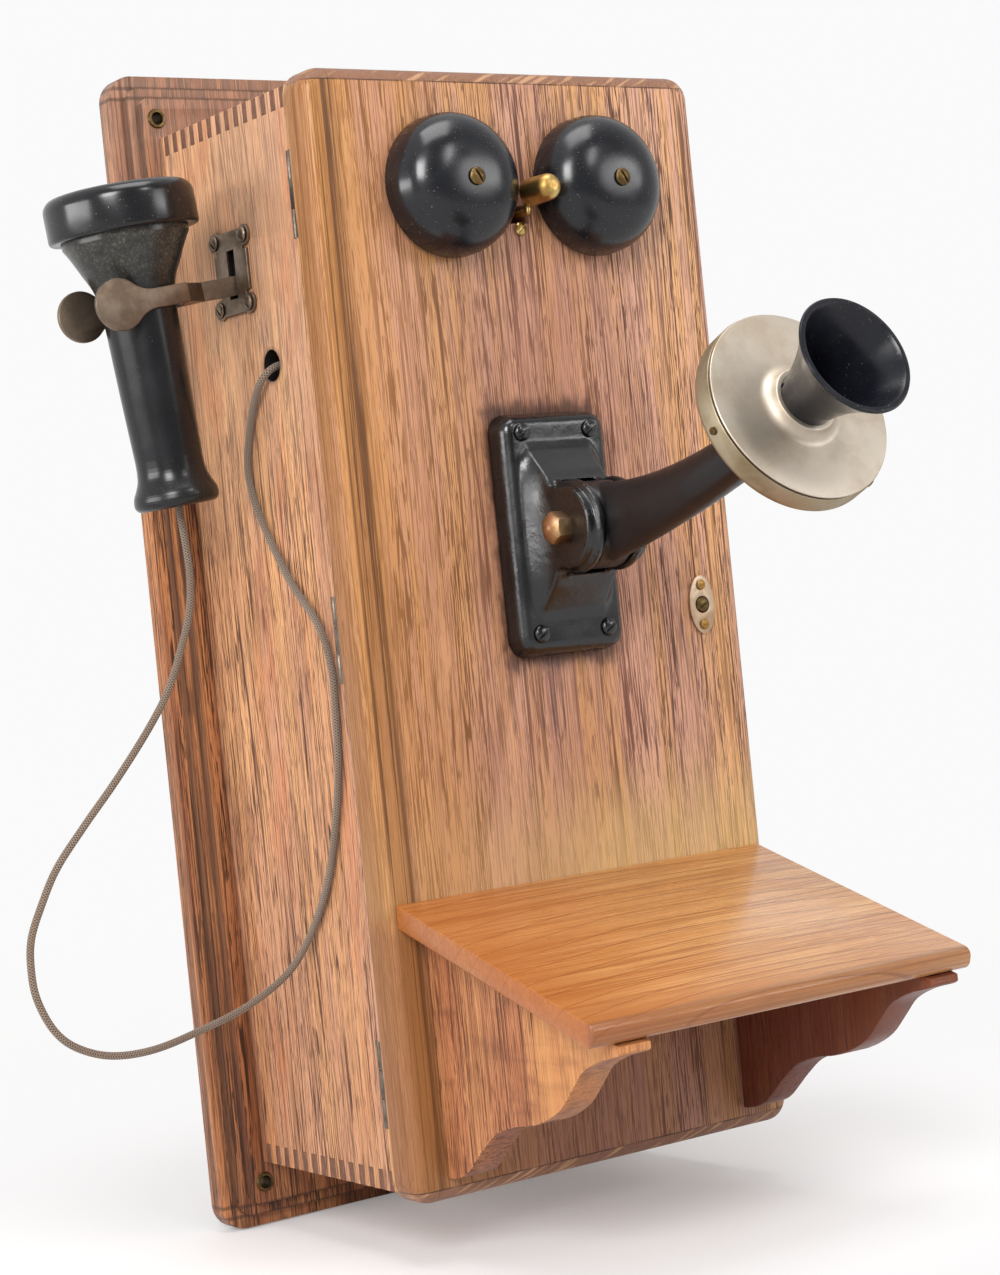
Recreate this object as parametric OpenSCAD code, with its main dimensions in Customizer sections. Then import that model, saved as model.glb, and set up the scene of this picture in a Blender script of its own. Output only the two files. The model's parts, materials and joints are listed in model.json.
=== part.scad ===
// Hand-crank wall telephone. The wall is the plane y = 0 and the telephone
// stands out of it towards -Y. The origin is the centre of the four wall holes.

/* [Backboard] */
// Margin of the backboard at each side of the box
board_side = 20; // [18:0.5:26]
// Margin of the backboard over and under the box
board_end = 31; // [28:0.5:40]
// Full thickness of the backboard
board_t = 19; // [17:0.5:25]
// Thickness of the backboard's outer lip
lip_t = 11.5; // [8:0.5:13]
// Thickness of the middle step of the moulded edge
step_t = 15.5; // [14:0.5:16.5]
// Width of the outer lip
lip_w = 6; // [4:0.5:8]
// Width of the middle step
step_w = 5.3; // [4:0.1:7]
// Corner radius of the backboard
board_r = 12; // [10:0.5:16]
// Distance of the wall holes from the backboard's sides
hole_side = 19.5; // [17:0.5:21]
// Distance of the wall holes from the backboard's ends
hole_end = 21.5; // [18:0.5:23]
// Bore radius of the wall eyelets
eyelet_r = 3; // [2.5:0.1:3.4]

/* [Cabinet] */
// Outside width of the box
box_w = 203; // [198:1:212]
// Outside height of the box
box_h = 483; // [476:1:490]
// Depth of the box boards
box_d = 122; // [118:1:140]
// Thickness of the box boards
wall_t = 9; // [8:0.5:11]
// Number of finger steps across a corner of the box
finger_n = 29; // [21:2:35]
// Diameter of the cord hole
cord_hole_d = 14; // [10:0.5:16]
// Thickness of the generator shelf
gen_shelf_t = 10; // [8:0.5:14]

/* [Door] */
// Overhang of the door at each side
door_side = 3.5; // [3.4:0.1:5]
// Overhang of the door at top and bottom
door_over = 4; // [2:0.5:8]
// Thickness of the door
door_t = 18; // [16:0.5:24]
// Radius of the door's rounded front edge
door_edge_r = 6.5; // [3:0.5:8]
// Corner radius of the door
door_r = 10.5; // [9:0.5:14]
// Height of each hinge
hinge_h = 38; // [34:1:60]
// Radius of the hinge knuckles
knuckle_r = 1.6; // [1.5:0.05:1.65]
// Radius of the hinge pins
hinge_pin_r = 0.8; // [0.6:0.05:0.9]

/* [Writing shelf] */
// Width of the writing shelf
shelf_w = 201; // [180:1:220]
// Reach of the shelf in front of the door
shelf_reach = 138; // [110:1:160]
// Slope of the shelf, in degrees
shelf_slope = 17.3; // [8:0.1:25]
// Thickness of the shelf
shelf_t = 10; // [8:0.5:14]
// Height of the shelf's back edge over the origin
shelf_z = -115; // [-120:1:-100]
// Thickness of the shelf brackets
bracket_t = 16; // [12:0.5:20]

/* [Gongs] */
// Radius of each gong
gong_r = 31.65; // [28:0.05:32]
// Height of a gong's dome
gong_h = 24.2; // [20:0.1:28]
// Half of the distance between the gongs' centres
gong_x = 39.14; // [39:0.02:42]
// Height of the gongs over the origin
gong_z = 193; // [190:1:200]
// Wall of a gong
gong_t = 1.8; // [1.2:0.1:2.4]
// Gap between a gong's rim and the door
gong_gap = 3.3; // [2:0.1:6]
// Radius of the clapper's head
clapper_r = 6.3; // [5:0.1:6.5]

/* [Transmitter] */
// Width of the base casting
base_w = 58; // [54:0.5:62]
// Height of the base casting
base_h = 108.4; // [104:0.2:116]
// Thickness of the base casting's plate
base_t = 12; // [10:0.5:14]
// Distance from the door to the tilting pivot
pivot_out = 34.5; // [34:0.5:40]
// Height of the tilting pivot over the origin
pivot_z = 39; // [35:1:45]
// Radius of the ears of the base casting
ear_r = 20.8; // [20.6:0.1:22.4]
// Radius of the pivot bolt
bolt_r = 4; // [3:0.1:5]
// Radius of the transmitter's face
face_r = 41.9; // [38:0.1:44]
// Depth of the transmitter's cup
cup_d = 13; // [12.5:0.5:20]
// Upward tilt of the transmitter's face, in degrees
face_tilt = 23.3; // [10:0.1:35]
// Radius of the mouthpiece at its rim
mouth_r = 25.7; // [22:0.1:28]
// Distance from the face to the mouthpiece's rim
mouth_l = 38.5; // [34:0.5:46]

/* [Receiver and hook] */
// Height of the hook's pin over the origin
hook_z = 172.3; // [168:0.1:178]
// Distance from the backboard to the hook
hook_out = 58.7; // [56:0.1:62]
// Radius of the receiver's cap
cap_r = 33.5; // [31:0.1:34]
// Height of the receiver's cap
cap_h = 20; // [17:0.5:23]
// Whole length of the receiver
receiver_l = 142; // [138:1:160]
// Radius of the receiver's grip at its lower end
grip_r = 15; // [13:0.1:15.5]
// Radius of the receiver's tail
tail_r = 19; // [17:0.1:21]
// Lean of the receiver's axis, in degrees
receiver_lean = 6; // [3:0.5:8]
// Thickness of the hook's flat bar
hook_t = 3; // [2:0.1:3.6]
// Height of the hook's flat bar
hook_h = 8.7; // [6:0.1:9.4]
// Radius of the fork's round paddles
paddle_r = 11.5; // [9:0.1:13]
// Diameter of the cord
cord_d = 3.3; // [2.5:0.1:3.4]

/* [Crank and generator] */
// Length of the crank arm between its centres
crank_l = 50; // [42:1:53]
// Height of the crank's axis over the origin
crank_z = -12; // [-20:1:0]
// Distance from the wall to the crank's axis
crank_out = 77; // [72:1:84]
// Length of the crank's knob
knob_l = 38; // [30:1:42]
// Radius of the crank shaft
shaft_r = 4.5; // [3.5:0.1:5.5]
// Number of teeth on the drive gear
gear_teeth = 48; // [44:4:52]
// Number of teeth on the pinion
pinion_teeth = 12; // [12:1:14]
// Module of the gear teeth
gear_m = 1.25; // [1.1:0.05:1.3]
// Width of the drive gear
gear_t = 7; // [5:0.5:8]
// Width of one horseshoe magnet
magnet_w = 15; // [10:0.5:16]
// Number of horseshoe magnets
magnet_n = 3; // [2:1:3]
// Radius of the generator's armature
armature_r = 14.5; // [12:0.1:15]

/* [Hidden] */
$fn = 48;

// Named clearances
seat = 0.05;        // between pieces of one body that fit into each other
run = 0.06;         // radial clearance of a shaft in its bore
clear = 0.3;        // between pieces that move past each other
cut = 1;            // how far a cut reaches past the face it opens

// Colours
oak = "#b9783f";
oak_side = "#b06c3c";
oak_dark = "#7d4423";
oak_light = "#c98843";
black = "#1b1b1d";
nickel = "#b6ae9d";
brass = "#b08d45";
bronze = "#7a6a4f";
iron = "#3a3937";
steel = "#8d8f92";
copper = "#3f5a35";
braid = "#6b5a4c";

// Widths, heights and depths of the main faces
board_w = box_w + 2 * board_side;
board_h = box_h + 2 * board_end;
hole_dx = board_w - 2 * hole_side;
hole_dz = board_h - 2 * hole_end;
box_back = -board_t;
box_front = -(board_t + box_d);
door_back = box_front - clear;
door_front = door_back - door_t;
door_w = box_w + 2 * door_side;
door_h = box_h + 2 * door_over;
wall_in = box_w / 2 - wall_t;
wall_out = box_w / 2;

latch_x = wall_out - 20.5;
latch_z = -1;

// Small helpers
function arc(cx, cy, r, from, to, n) =
    [for (i = [0:n]) [cx + r * cos(from + (to - from) * i / n), cy + r * sin(from + (to - from) * i / n)]];
function curve_at(a, b, c, d, t) =
    ((2 * b) + (c - a) * t + (2 * a - 5 * b + 4 * c - d) * t * t + (3 * b - a - 3 * c + d) * t * t * t) / 2;
function through(p, n) = [for (i = [0:len(p) - 2]) for (k = [0:n - 1])
    curve_at(p[max(i - 1, 0)], p[i], p[i + 1], p[min(i + 2, len(p) - 1)], k / n), p[len(p) - 1]];

// A flat shape drawn in X and Z, thickened from y0 towards the front
module plate(y0, t) {
    translate([0, y0, 0]) rotate([90, 0, 0]) linear_extrude(t) children();
}

// A flat shape drawn in Y and Z, thickened from x0 towards +X
module along_x(x0, t) {
    translate([x0, 0, 0]) rotate([90, 0, 90]) linear_extrude(t) children();
}

module facing_front(p) { translate(p) rotate([90, 0, 0]) children(); }
module facing_left(p) { translate(p) rotate([0, -90, 0]) children(); }
module facing_right(p) { translate(p) rotate([0, 90, 0]) children(); }

module round_rect(w, h, r) {
    square([w - 2 * r, h], center = true);
    square([w, h - 2 * r], center = true);
    for (x = [-1, 1], y = [-1, 1]) translate([x * (w / 2 - r), y * (h / 2 - r)]) circle(r);
}

module block(low, high) {
    translate(low) cube([high[0] - low[0], high[1] - low[1], high[2] - low[2]]);
}

// A slotted round-head screw along +Z, its head's seat at z = 0
module screw(head_r, head_h, shank_r, shank_l, slot_turn) {
    slot_w = head_r * 0.3;
    difference() {
        rotate_extrude() polygon(concat([[0, 0]],
            [for (a = [0:15:90]) [head_r * cos(a), head_h * (0.25 + 0.75 * sin(a)) ]],
            [[0, head_h]]));
        rotate([0, 0, slot_turn])
            translate([-head_r - cut, -slot_w / 2, head_h * 0.5])
                cube([2 * head_r + 2 * cut, slot_w, head_h]);
    }
    translate([0, 0, -shank_l]) cylinder(r = shank_r, h = shank_l + head_h * 0.3);
}

// Wall fixing
eyelet_tube_r = eyelet_r + 0.8;
eyelet_rim_r = eyelet_r + 1.6;
eyelet_rim_h = 1;
module at_wall_holes() {
    for (x = [-1, 1], z = [-1, 1]) translate([x * hole_dx / 2, 0, z * hole_dz / 2]) children();
}

module backboard() {
    color(oak_dark) difference() {
        union() {
            plate(0, lip_t) round_rect(board_w, board_h, board_r);
            plate(0, step_t) round_rect(board_w - 2 * lip_w, board_h - 2 * lip_w, board_r - lip_w / 2);
            plate(0, board_t)
                round_rect(board_w - 2 * (lip_w + step_w), board_h - 2 * (lip_w + step_w), board_r - lip_w);
        }
        at_wall_holes() facing_front([0, cut, 0]) cylinder(r = eyelet_tube_r + seat, h = board_t + 2 * cut);
    }
}

module eyelets() {
    color(brass) at_wall_holes() facing_front([0, 0, 0]) difference() {
        union() {
            cylinder(r = eyelet_tube_r, h = board_t);
            translate([0, 0, board_t]) cylinder(r1 = eyelet_rim_r, r2 = eyelet_rim_r - 0.5, h = eyelet_rim_h);
        }
        translate([0, 0, -cut]) cylinder(r = eyelet_r, h = board_t + eyelet_rim_h + 2 * cut);
    }
}

// Cabinet with finger joints: the side boards keep the even steps and the top
// and bottom boards keep the odd ones
finger = box_d / finger_n;
module finger_cuts(first, size) {
    for (i = [first:2:finger_n - 1]) {
        at_front = i == finger_n - 1 ? cut : 0;
        at_back = i == 0 ? cut : 0;
        translate([-size[0] / 2, box_back - (i + 1) * finger - at_front, -size[1] / 2])
            cube([size[0], finger + at_front + at_back, size[1]]);
    }
}

module side_board(side) {
    low_x = side > 0 ? wall_in : -wall_out;
    difference() {
        block([low_x, box_front, -box_h / 2], [low_x + wall_t, box_back, box_h / 2]);
        for (end = [-1, 1]) translate([side * (wall_in + wall_t / 2), 0, end * (box_h - wall_t) / 2])
            finger_cuts(1, [wall_t + 2 * cut, wall_t + 2 * seat]);
    }
}

module level_board(end) {
    difference() {
        block([-wall_out, box_front, end * (box_h - wall_t) / 2 - wall_t / 2],
            [wall_out, box_back, end * (box_h - wall_t) / 2 + wall_t / 2]);
        for (side = [-1, 1]) translate([side * (wall_out - wall_t / 2), 0, end * (box_h - wall_t) / 2])
            finger_cuts(0, [wall_t + 2 * seat, wall_t + 2 * cut]);
    }
}

// Hinges at the left edge of the box: their knuckles lie outside the box, under
// the door's overhang
hinge_x = -(wall_out + knuckle_r + 0.15);
hinge_y = box_front + knuckle_r;
hinge_end = 48;
hinge_z = [box_h / 2 - hinge_end, latch_z + 1, -box_h / 2 + hinge_end];
leaf_t = 1.3;
leaf_door_w = 22;
knuckle_h = hinge_h / 3;
module at_hinges() {
    for (z = hinge_z) translate([hinge_x, hinge_y, z]) children();
}

module hinge_leaves_box() {
    color(bronze) at_hinges() {
        difference() {
            union() {
                block([0, -knuckle_r, -hinge_h / 2], [-wall_in - hinge_x, leaf_t - knuckle_r, hinge_h / 2]);
                for (low = [-hinge_h / 2, hinge_h / 2 - knuckle_h])
                    translate([0, 0, low]) cylinder(r = knuckle_r, h = knuckle_h);
            }
            translate([0, 0, -hinge_h / 2 - cut]) cylinder(r = hinge_pin_r + seat, h = hinge_h + 2 * cut);
            translate([0, 0, -(knuckle_h + clear) / 2])
                cylinder(r = knuckle_r + clear, h = knuckle_h + clear);
        }
        translate([0, 0, -hinge_h / 2]) cylinder(r = hinge_pin_r, h = hinge_h);
    }
}

module hinge_leaves_door() {
    back = door_back - hinge_y;
    low = (clear - knuckle_h) / 2;
    color(bronze) at_hinges() difference() {
        union() {
            block([-knuckle_r, back - leaf_t, -hinge_h / 2], [leaf_door_w - door_side, back, hinge_h / 2]);
            block([-knuckle_r, back - leaf_t, low], [0, 0, -low]);
            translate([0, 0, low]) cylinder(r = knuckle_r, h = knuckle_h - clear);
        }
        translate([0, 0, -hinge_h / 2 - cut]) cylinder(r = hinge_pin_r + run, h = hinge_h + 2 * cut);
    }
}

// Switch hook: a flat bar on a pin inside the box, a slot in the left side and
// a fork outside. The bar slopes down towards the fork.
hook_y = box_back - hook_out;
hook_pin_x = -wall_out + 61.5;
hook_pin_r = 2.5;
hook_slope = 8.2;
hook_hub_w = 7.6;
hook_bar_end = -wall_out - 29.5;
slot_w = 7;
slot_low = hook_z - 14.9;
slot_high = hook_z + 7.1;
escutcheon_t = 1.6;
screw_dy = 26.4;
screw_dz = 30.5;
escutcheon_z = hook_z - 3.1;
cord_hole_y = -103;
cord_hole_z = 124;
side_screw_r = 1.5;
side_screw_l = 7;
module at_escutcheon_screws() {
    for (y = [-1, 1], z = [-1, 1])
        translate([-wall_out, hook_y + y * screw_dy / 2, escutcheon_z + z * screw_dz / 2]) children();
}

module hook_slot(extra) {
    block([-wall_out - 10, hook_y - slot_w / 2 - extra, slot_low - extra],
        [-wall_in + 10, hook_y + slot_w / 2 + extra, slot_high + extra]);
}

module box_left() {
    color(oak_side) difference() {
        side_board(-1);
        hook_slot(0.6);
        facing_left([-wall_in + cut, cord_hole_y, cord_hole_z])
            cylinder(d = cord_hole_d, h = wall_t + 2 * cut);
        at_escutcheon_screws() facing_right([-cut, 0, 0])
            cylinder(r = side_screw_r + seat, h = side_screw_l + cut);
        at_hinges() block([-cut, -knuckle_r - cut, -hinge_h / 2 - seat],
            [wall_t + 2 * knuckle_r, leaf_t - knuckle_r + seat, hinge_h / 2 + seat]);
    }
}

module escutcheon() {
    lobe_r = 4.7;
    color(bronze) difference() {
        translate([0, hook_y, escutcheon_z]) along_x(-wall_out - escutcheon_t, escutcheon_t) {
            square([screw_dy - 4, screw_dz + 7], center = true);
            square([screw_dy + 3, screw_dz - 12], center = true);
            for (y = [-1, 1], z = [-1, 1]) translate([y * screw_dy / 2, z * screw_dz / 2]) circle(lobe_r);
        }
        hook_slot(0);
        at_escutcheon_screws() facing_left([cut, 0, 0])
            cylinder(r = side_screw_r + seat, h = escutcheon_t + 2 * cut);
    }
}

ear_gap = hook_hub_w / 2 + 0.25;
bracket_plate_t = 2;
module switch_bracket() {
    color(steel) {
        difference() {
            union() {
                block([-wall_in, hook_y - 17, hook_z - 24.3],
                    [-wall_in + bracket_plate_t, hook_y + 17, hook_z + 33.7]);
                for (side = [-1, 1]) {
                    y = hook_y + side * (ear_gap + bracket_plate_t / 2);
                    block([-wall_in, y - bracket_plate_t / 2, hook_z - 8],
                        [hook_pin_x, y + bracket_plate_t / 2, hook_z + 8]);
                    translate([hook_pin_x, y - bracket_plate_t / 2, hook_z]) rotate([-90, 0, 0])
                        cylinder(r = 8, h = bracket_plate_t);
                }
            }
            translate([-wall_in - cut, hook_y - ear_gap, slot_low - 1])
                cube([bracket_plate_t + 2 * cut, 2 * ear_gap, slot_high - slot_low + 2]);
            facing_front([hook_pin_x, hook_y + 20, hook_z]) cylinder(r = hook_pin_r + seat, h = 40);
        }
        facing_front([hook_pin_x, hook_y + ear_gap + bracket_plate_t + 1, hook_z])
            cylinder(r = hook_pin_r, h = 2 * (ear_gap + bracket_plate_t + 1));
    }
}

// The hook's own frame: its origin is the pin, and the bar runs towards -X
module on_hook() {
    translate([hook_pin_x, hook_y, hook_z]) rotate([0, -hook_slope, 0]) children();
}

bar_l = (hook_pin_x - hook_bar_end) / cos(hook_slope);
lug_x = -18;
lug_h = 15;
module hook_lever() {
    color(bronze) difference() {
        union() {
            on_hook() block([-bar_l, -hook_t / 2, -hook_h / 2], [8, hook_t / 2, hook_h / 2]);
            on_hook() block([lug_x - 2, -hook_t / 2, 0], [lug_x + 2, hook_t / 2, lug_h - 2]);
            on_hook() translate([lug_x, hook_t / 2, lug_h - 3]) rotate([90, 0, 0])
                cylinder(r = 3, h = hook_t);
            facing_front([hook_pin_x, hook_y + hook_hub_w / 2, hook_z]) cylinder(r = 5.5, h = hook_hub_w);
        }
        facing_front([hook_pin_x, hook_y + 20, hook_z]) cylinder(r = hook_pin_r + run, h = 40);
    }
}

// Fork: a cross strap riveted under the bar's end spreads into two prongs with
// round paddles, which carry the receiver's flare
prong_t = 2.4;
prong_gap = 35.6;
prong_y = (prong_gap + prong_t) / 2;
prong_back = bar_l - 12;
prong_front = bar_l + 5;
paddle_x = bar_l + 39.5;
neck_r = 14;
module prong_shape() {
    rise = hook_h / 2 + neck_r;
    run_in = sqrt(pow(paddle_r + neck_r, 2) - rise * rise);
    touch = atan2(rise, run_in);
    half = concat([[prong_front, hook_h / 2]], arc(paddle_x - run_in, rise, neck_r, 270, 360 - touch, 6));
    polygon(concat([for (p = half) [-p[0], p[1]]],
        [for (i = [len(half) - 1:-1:0]) [-half[i][0], -half[i][1]]]));
    translate([-paddle_x, 0]) circle(paddle_r);
}

module hook_fork() {
    color(bronze) on_hook() {
        for (side = [-1, 1]) translate([0, side * prong_y + prong_t / 2, 0]) rotate([90, 0, 0])
            linear_extrude(prong_t) prong_shape();
        for (side = [-1, 1]) translate([0, 0, -hook_h / 2]) linear_extrude(hook_h) polygon([
            [-prong_back, side * (hook_t / 2 + seat)],
            [-prong_front - 2.5, side * (prong_y + prong_t / 2)],
            [-prong_front - 2.5, side * (prong_y - prong_t / 2)],
            [-bar_l - 0.5, side * (hook_t / 2 + seat) * 0.2],
            [-bar_l - 0.5, 0],
            [-bar_l - 0.1, 0],
            [-bar_l - 0.1, side * (hook_t / 2 + seat)]]);
    }
}

module lifting_spring() {
    foot = [-wall_in + bracket_plate_t, hook_z - 22.3];
    under = hook_z - hook_h / 2 - 0.3;
    tip_x = hook_pin_x - 14;
    tip_z = under - 14 * tan(hook_slope) - 0.9;
    line = through([foot, foot + [12, 1], [tip_x - 8, tip_z - 7], [tip_x, tip_z]], 6);
    t = 0.8;
    color(steel) translate([0, hook_y + 4 - 0.5, 0]) rotate([90, 0, 0]) linear_extrude(7)
        polygon(concat(line, [for (i = [len(line) - 1:-1:0]) [line[i][0], line[i][1] - t]]));
}

// Contact springs: flat leaves clamped between insulating blocks
leaf_n = 3;
leaf_gap = 4;
leaf_low = hook_z + 17.7;
module contact_springs() {
    block_w = 12;
    t = 0.6;
    color(brass) for (i = [0:leaf_n - 1])
        block([-wall_in + bracket_plate_t, hook_y - 4, leaf_low + i * leaf_gap],
            [-46 - 3 * i, hook_y + 4, leaf_low + i * leaf_gap + t]);
    color(black) for (i = [-1:leaf_n - 1])
        block([-wall_in + bracket_plate_t, hook_y - 6, leaf_low + i * leaf_gap + t],
            [-wall_in + bracket_plate_t + block_w, hook_y + 6, leaf_low + (i + 1) * leaf_gap]);
}

module cord_cleat() {
    color(oak_light) block([-wall_in, cord_hole_y - 12, cord_hole_z - 12],
        [-wall_in + 8, cord_hole_y + 12, cord_hole_z + 12]);
}

// Generator: the armature turns between pole pieces at the magnets' lower ends
// and the crank shaft passes through the magnets' arches above it
gear_dist = gear_m * (gear_teeth + pinion_teeth) / 2;
arm_z = crank_z - gear_dist;
gen_y = -crank_out;
frame_t = 4;
frame_right = 82;
magnet_gap = 1.5;
magnet_bar = 9;
pole_gap = 0.5;
pole_in = 4;
pole_out = armature_r + 9.5;
pole_h = 34;
foot_h = 22;
magnets_l = magnet_n * magnet_w + (magnet_n - 1) * magnet_gap;
frame_left = frame_right - 2 * frame_t - magnets_l - 1;
gen_shelf_z = arm_z - foot_h;
gear_x = frame_left - 1 - gear_t;
arch_z = arm_z + 30;

arm_shaft_r = 3;

module generator_shelf() {
    color(oak_light) block([-wall_in + seat, box_front + 14, gen_shelf_z - gen_shelf_t],
        [wall_in - seat, box_back - seat, gen_shelf_z]);
}

module frame_outline() {
    square([56, 40], center = true);
    translate([0, 12]) square([56, 40], center = true);
    translate([0, gear_dist - 4]) circle(r = 20);
    translate([-28, -foot_h]) square([56, 10]);
}

module generator_frame() {
    color(iron) {
        difference() {
            union() {
                for (x = [frame_left, frame_right - frame_t]) {
                    translate([0, gen_y, arm_z]) along_x(x, frame_t) frame_outline();
                    out = x == frame_left ? -8 : frame_t;
                    block([x + out, gen_y - 28, gen_shelf_z], [x + out + 8, gen_y + 28, gen_shelf_z + 3]);
                }
            }
            facing_right([frame_left - 20, gen_y, crank_z]) cylinder(r = shaft_r + run, h = 100);
            facing_right([frame_left - 20, gen_y, arm_z]) cylinder(r = arm_shaft_r + run, h = 100);
        }
        translate([0, gen_y, arm_z]) difference() {
            for (side = [-1, 1]) along_x(frame_left + frame_t, frame_right - frame_left - 2 * frame_t)
                translate([side * (pole_in + pole_out) / 2, 0])
                    square([pole_out - pole_in, pole_h], center = true);
            facing_right([0, 0, 0]) cylinder(r = armature_r + pole_gap, h = 200);
        }
    }
}

module horseshoe() {
    outer = pole_out + magnet_bar;
    bottom = arm_z - pole_h / 2;
    difference() {
        union() {
            translate([-outer, bottom]) square([2 * outer, arch_z - bottom]);
            translate([0, arch_z]) circle(outer);
        }
        translate([-pole_out - seat, bottom - cut]) square([2 * (pole_out + seat), arch_z - bottom + cut]);
        translate([0, arch_z]) circle(pole_out + seat);
    }
}

module horseshoe_magnets() {
    color(black) for (i = [0:magnet_n - 1])
        translate([0, gen_y, 0]) along_x(frame_left + frame_t + 0.5 + i * (magnet_w + magnet_gap), magnet_w)
            horseshoe();
}

// Involute teeth: half the angle of a tooth at radius r
pressure = 25;
backlash = 0.25;
function roll(a) = tan(a) * 180 / PI - a;
function tooth_half(r, m, n) = 90 / n - backlash * 90 / (PI * m * n) + roll(pressure)
    - roll(acos(min(1, m * n * cos(pressure) / 2 / r)));
function gear_points(m, n) = [for (i = [0:n - 1]) for (k = [0:7])
    let (step = k < 4 ? k : 7 - k,
        low = m * n / 2 - 1.2 * m,
        base = max(low + 0.05, m * n * cos(pressure) / 2),
        r = [low, base, m * n / 2, m * n / 2 + 0.85 * m][step],
        side = k < 4 ? -1 : 1,
        a = i * 360 / n + side * tooth_half(max(r, base), m, n))
    [r * sin(a), -r * cos(a)]];

module drive_gear() {
    color(brass) translate([0, gen_y, crank_z]) difference() {
        along_x(gear_x, gear_t) difference() {
            polygon(gear_points(gear_m, gear_teeth));
            for (a = [0:60:300]) rotate(a + 30) translate([0, gear_m * gear_teeth * 0.3]) circle(5);
        }
        facing_right([gear_x - cut, 0, 0]) cylinder(r = shaft_r + seat, h = gear_t + 2 * cut);
    }
}

module pinion() {
    color(steel) translate([0, gen_y, arm_z]) difference() {
        rotate([180 / pinion_teeth, 0, 0]) along_x(gear_x, gear_t) polygon(gear_points(gear_m, pinion_teeth));
        facing_right([gear_x - cut, 0, 0]) cylinder(r = arm_shaft_r + seat, h = gear_t + 2 * cut);
    }
}

module generator_armature() {
    inner_l = frame_right - frame_left - 2 * frame_t;
    color(iron) translate([0, gen_y, arm_z]) {
        facing_right([gear_x - 2, 0, 0]) cylinder(r = arm_shaft_r, h = frame_right - gear_x + 4);
        difference() {
            facing_right([frame_left + frame_t + 0.6, 0, 0]) cylinder(r = armature_r, h = inner_l - 1.2);
            for (side = [-1, 1]) block([frame_left, -7, side > 0 ? 5 : -armature_r - cut],
                [frame_right, 7, side > 0 ? armature_r + cut : -5]);
        }
    }
}

hub_in = wall_out + 9;
hub_l = 9;
arm_bar_t = 5;
stud_r = 3;
module crank_shaft() {
    start = gear_x - 6;
    color(steel) facing_right([start, gen_y, crank_z])
        cylinder(r = shaft_r, h = hub_in + hub_l + 1.5 - start);
}

bushing_plate_r = 19;
bushing_r = 8;
bushing_screw_r = 14;
module at_bushing_screws() {
    for (a = [90, 210, 330])
        translate([wall_out, gen_y + bushing_screw_r * cos(a), crank_z + bushing_screw_r * sin(a)]) children();
}

module crank_bushing() {
    color(nickel) difference() {
        union() {
            facing_right([wall_in, gen_y, crank_z]) cylinder(r = bushing_r, h = wall_t + 7);
            facing_right([wall_out, gen_y, crank_z]) cylinder(r = bushing_plate_r, h = 2);
        }
        facing_right([wall_in - cut, gen_y, crank_z]) cylinder(r = shaft_r + run, h = wall_t + 10);
        at_bushing_screws() facing_right([-cut, 0, 0]) cylinder(r = side_screw_r + seat, h = 2 + 2 * cut);
    }
}

module box_right() {
    color(oak_side) difference() {
        side_board(1);
        facing_right([wall_in - cut, gen_y, crank_z]) cylinder(r = bushing_r + seat, h = wall_t + 2 * cut);
        at_bushing_screws() facing_left([cut, 0, 0])
            cylinder(r = side_screw_r + seat, h = side_screw_l + cut);
    }
}

module side_screws() {
    color(bronze) {
        at_escutcheon_screws() facing_left([-escutcheon_t, 0, 0])
            screw(3.6, 2.2, side_screw_r, side_screw_l + escutcheon_t, 40);
        at_bushing_screws() facing_right([2, 0, 0]) screw(3.2, 2, side_screw_r, side_screw_l, 20);
    }
}

module crank_arm() {
    arm_x = hub_in + 2;
    color(nickel) translate([0, gen_y, crank_z]) {
        difference() {
            union() {
                facing_right([hub_in, 0, 0]) cylinder(r = 9, h = hub_l);
                along_x(arm_x, arm_bar_t) {
                    polygon([[-6.5, 0], [-5, -crank_l], [5, -crank_l], [6.5, 0]]);
                    translate([0, -crank_l]) circle(7);
                }
            }
            facing_right([hub_in - cut, 0, 0]) cylinder(r = shaft_r + seat, h = hub_l + 2 * cut);
        }
        facing_right([arm_x + arm_bar_t - 1, 0, -crank_l]) cylinder(r = stud_r, h = knob_l + 3.5);
        facing_right([arm_x + arm_bar_t + knob_l + 1, 0, -crank_l]) cylinder(r = stud_r + 2, h = 1.5);
    }
}

module crank_knob() {
    start = hub_in + 2 + arm_bar_t + 0.5;
    profile = through([[7.5, 0], [8, 3], [6.5, 8], [10, knob_l * 0.55], [11, knob_l * 0.8], [8, knob_l]], 5);
    color(black) facing_right([start, gen_y, crank_z - crank_l]) difference() {
        rotate_extrude() polygon(concat([[0, 0]], profile, [[0, knob_l]]));
        translate([0, 0, -cut]) cylinder(r = stud_r + run, h = knob_l + 2 * cut);
    }
}

// Battery and talking circuit on the backboard, under the generator shelf
coil_r = 14;
coil_l = 84;
coil_at = [-70, box_back - 19, gen_shelf_z - gen_shelf_t - 30];
head_w = 38;
module induction_coil() {
    color(copper) facing_right(coil_at) cylinder(r = coil_r, h = coil_l);
    color(oak_light) for (x = [0, coil_l]) translate([coil_at[0] + x, coil_at[1], coil_at[2]])
        block([x > 0 ? 0 : -7, -head_w / 2, -head_w / 2], [x > 0 ? 7 : 0, head_w / 2, head_w / 2]);
}

condenser_size = [66, 80, 26];
condenser_at = [-76, box_back - 88, -box_h / 2 + wall_t];
module condenser() {
    color(steel) translate(condenser_at) cube(condenser_size);
}

terminal_z = -box_h / 2 + 63.5;
terminal_n = 5;
terminal_step = 22;
terminal_t = 9;
post_pin_r = 2;
module at_terminals() {
    for (i = [0:terminal_n - 1])
        translate([(i - (terminal_n - 1) / 2) * terminal_step, box_back - terminal_t, terminal_z]) children();
}

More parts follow.
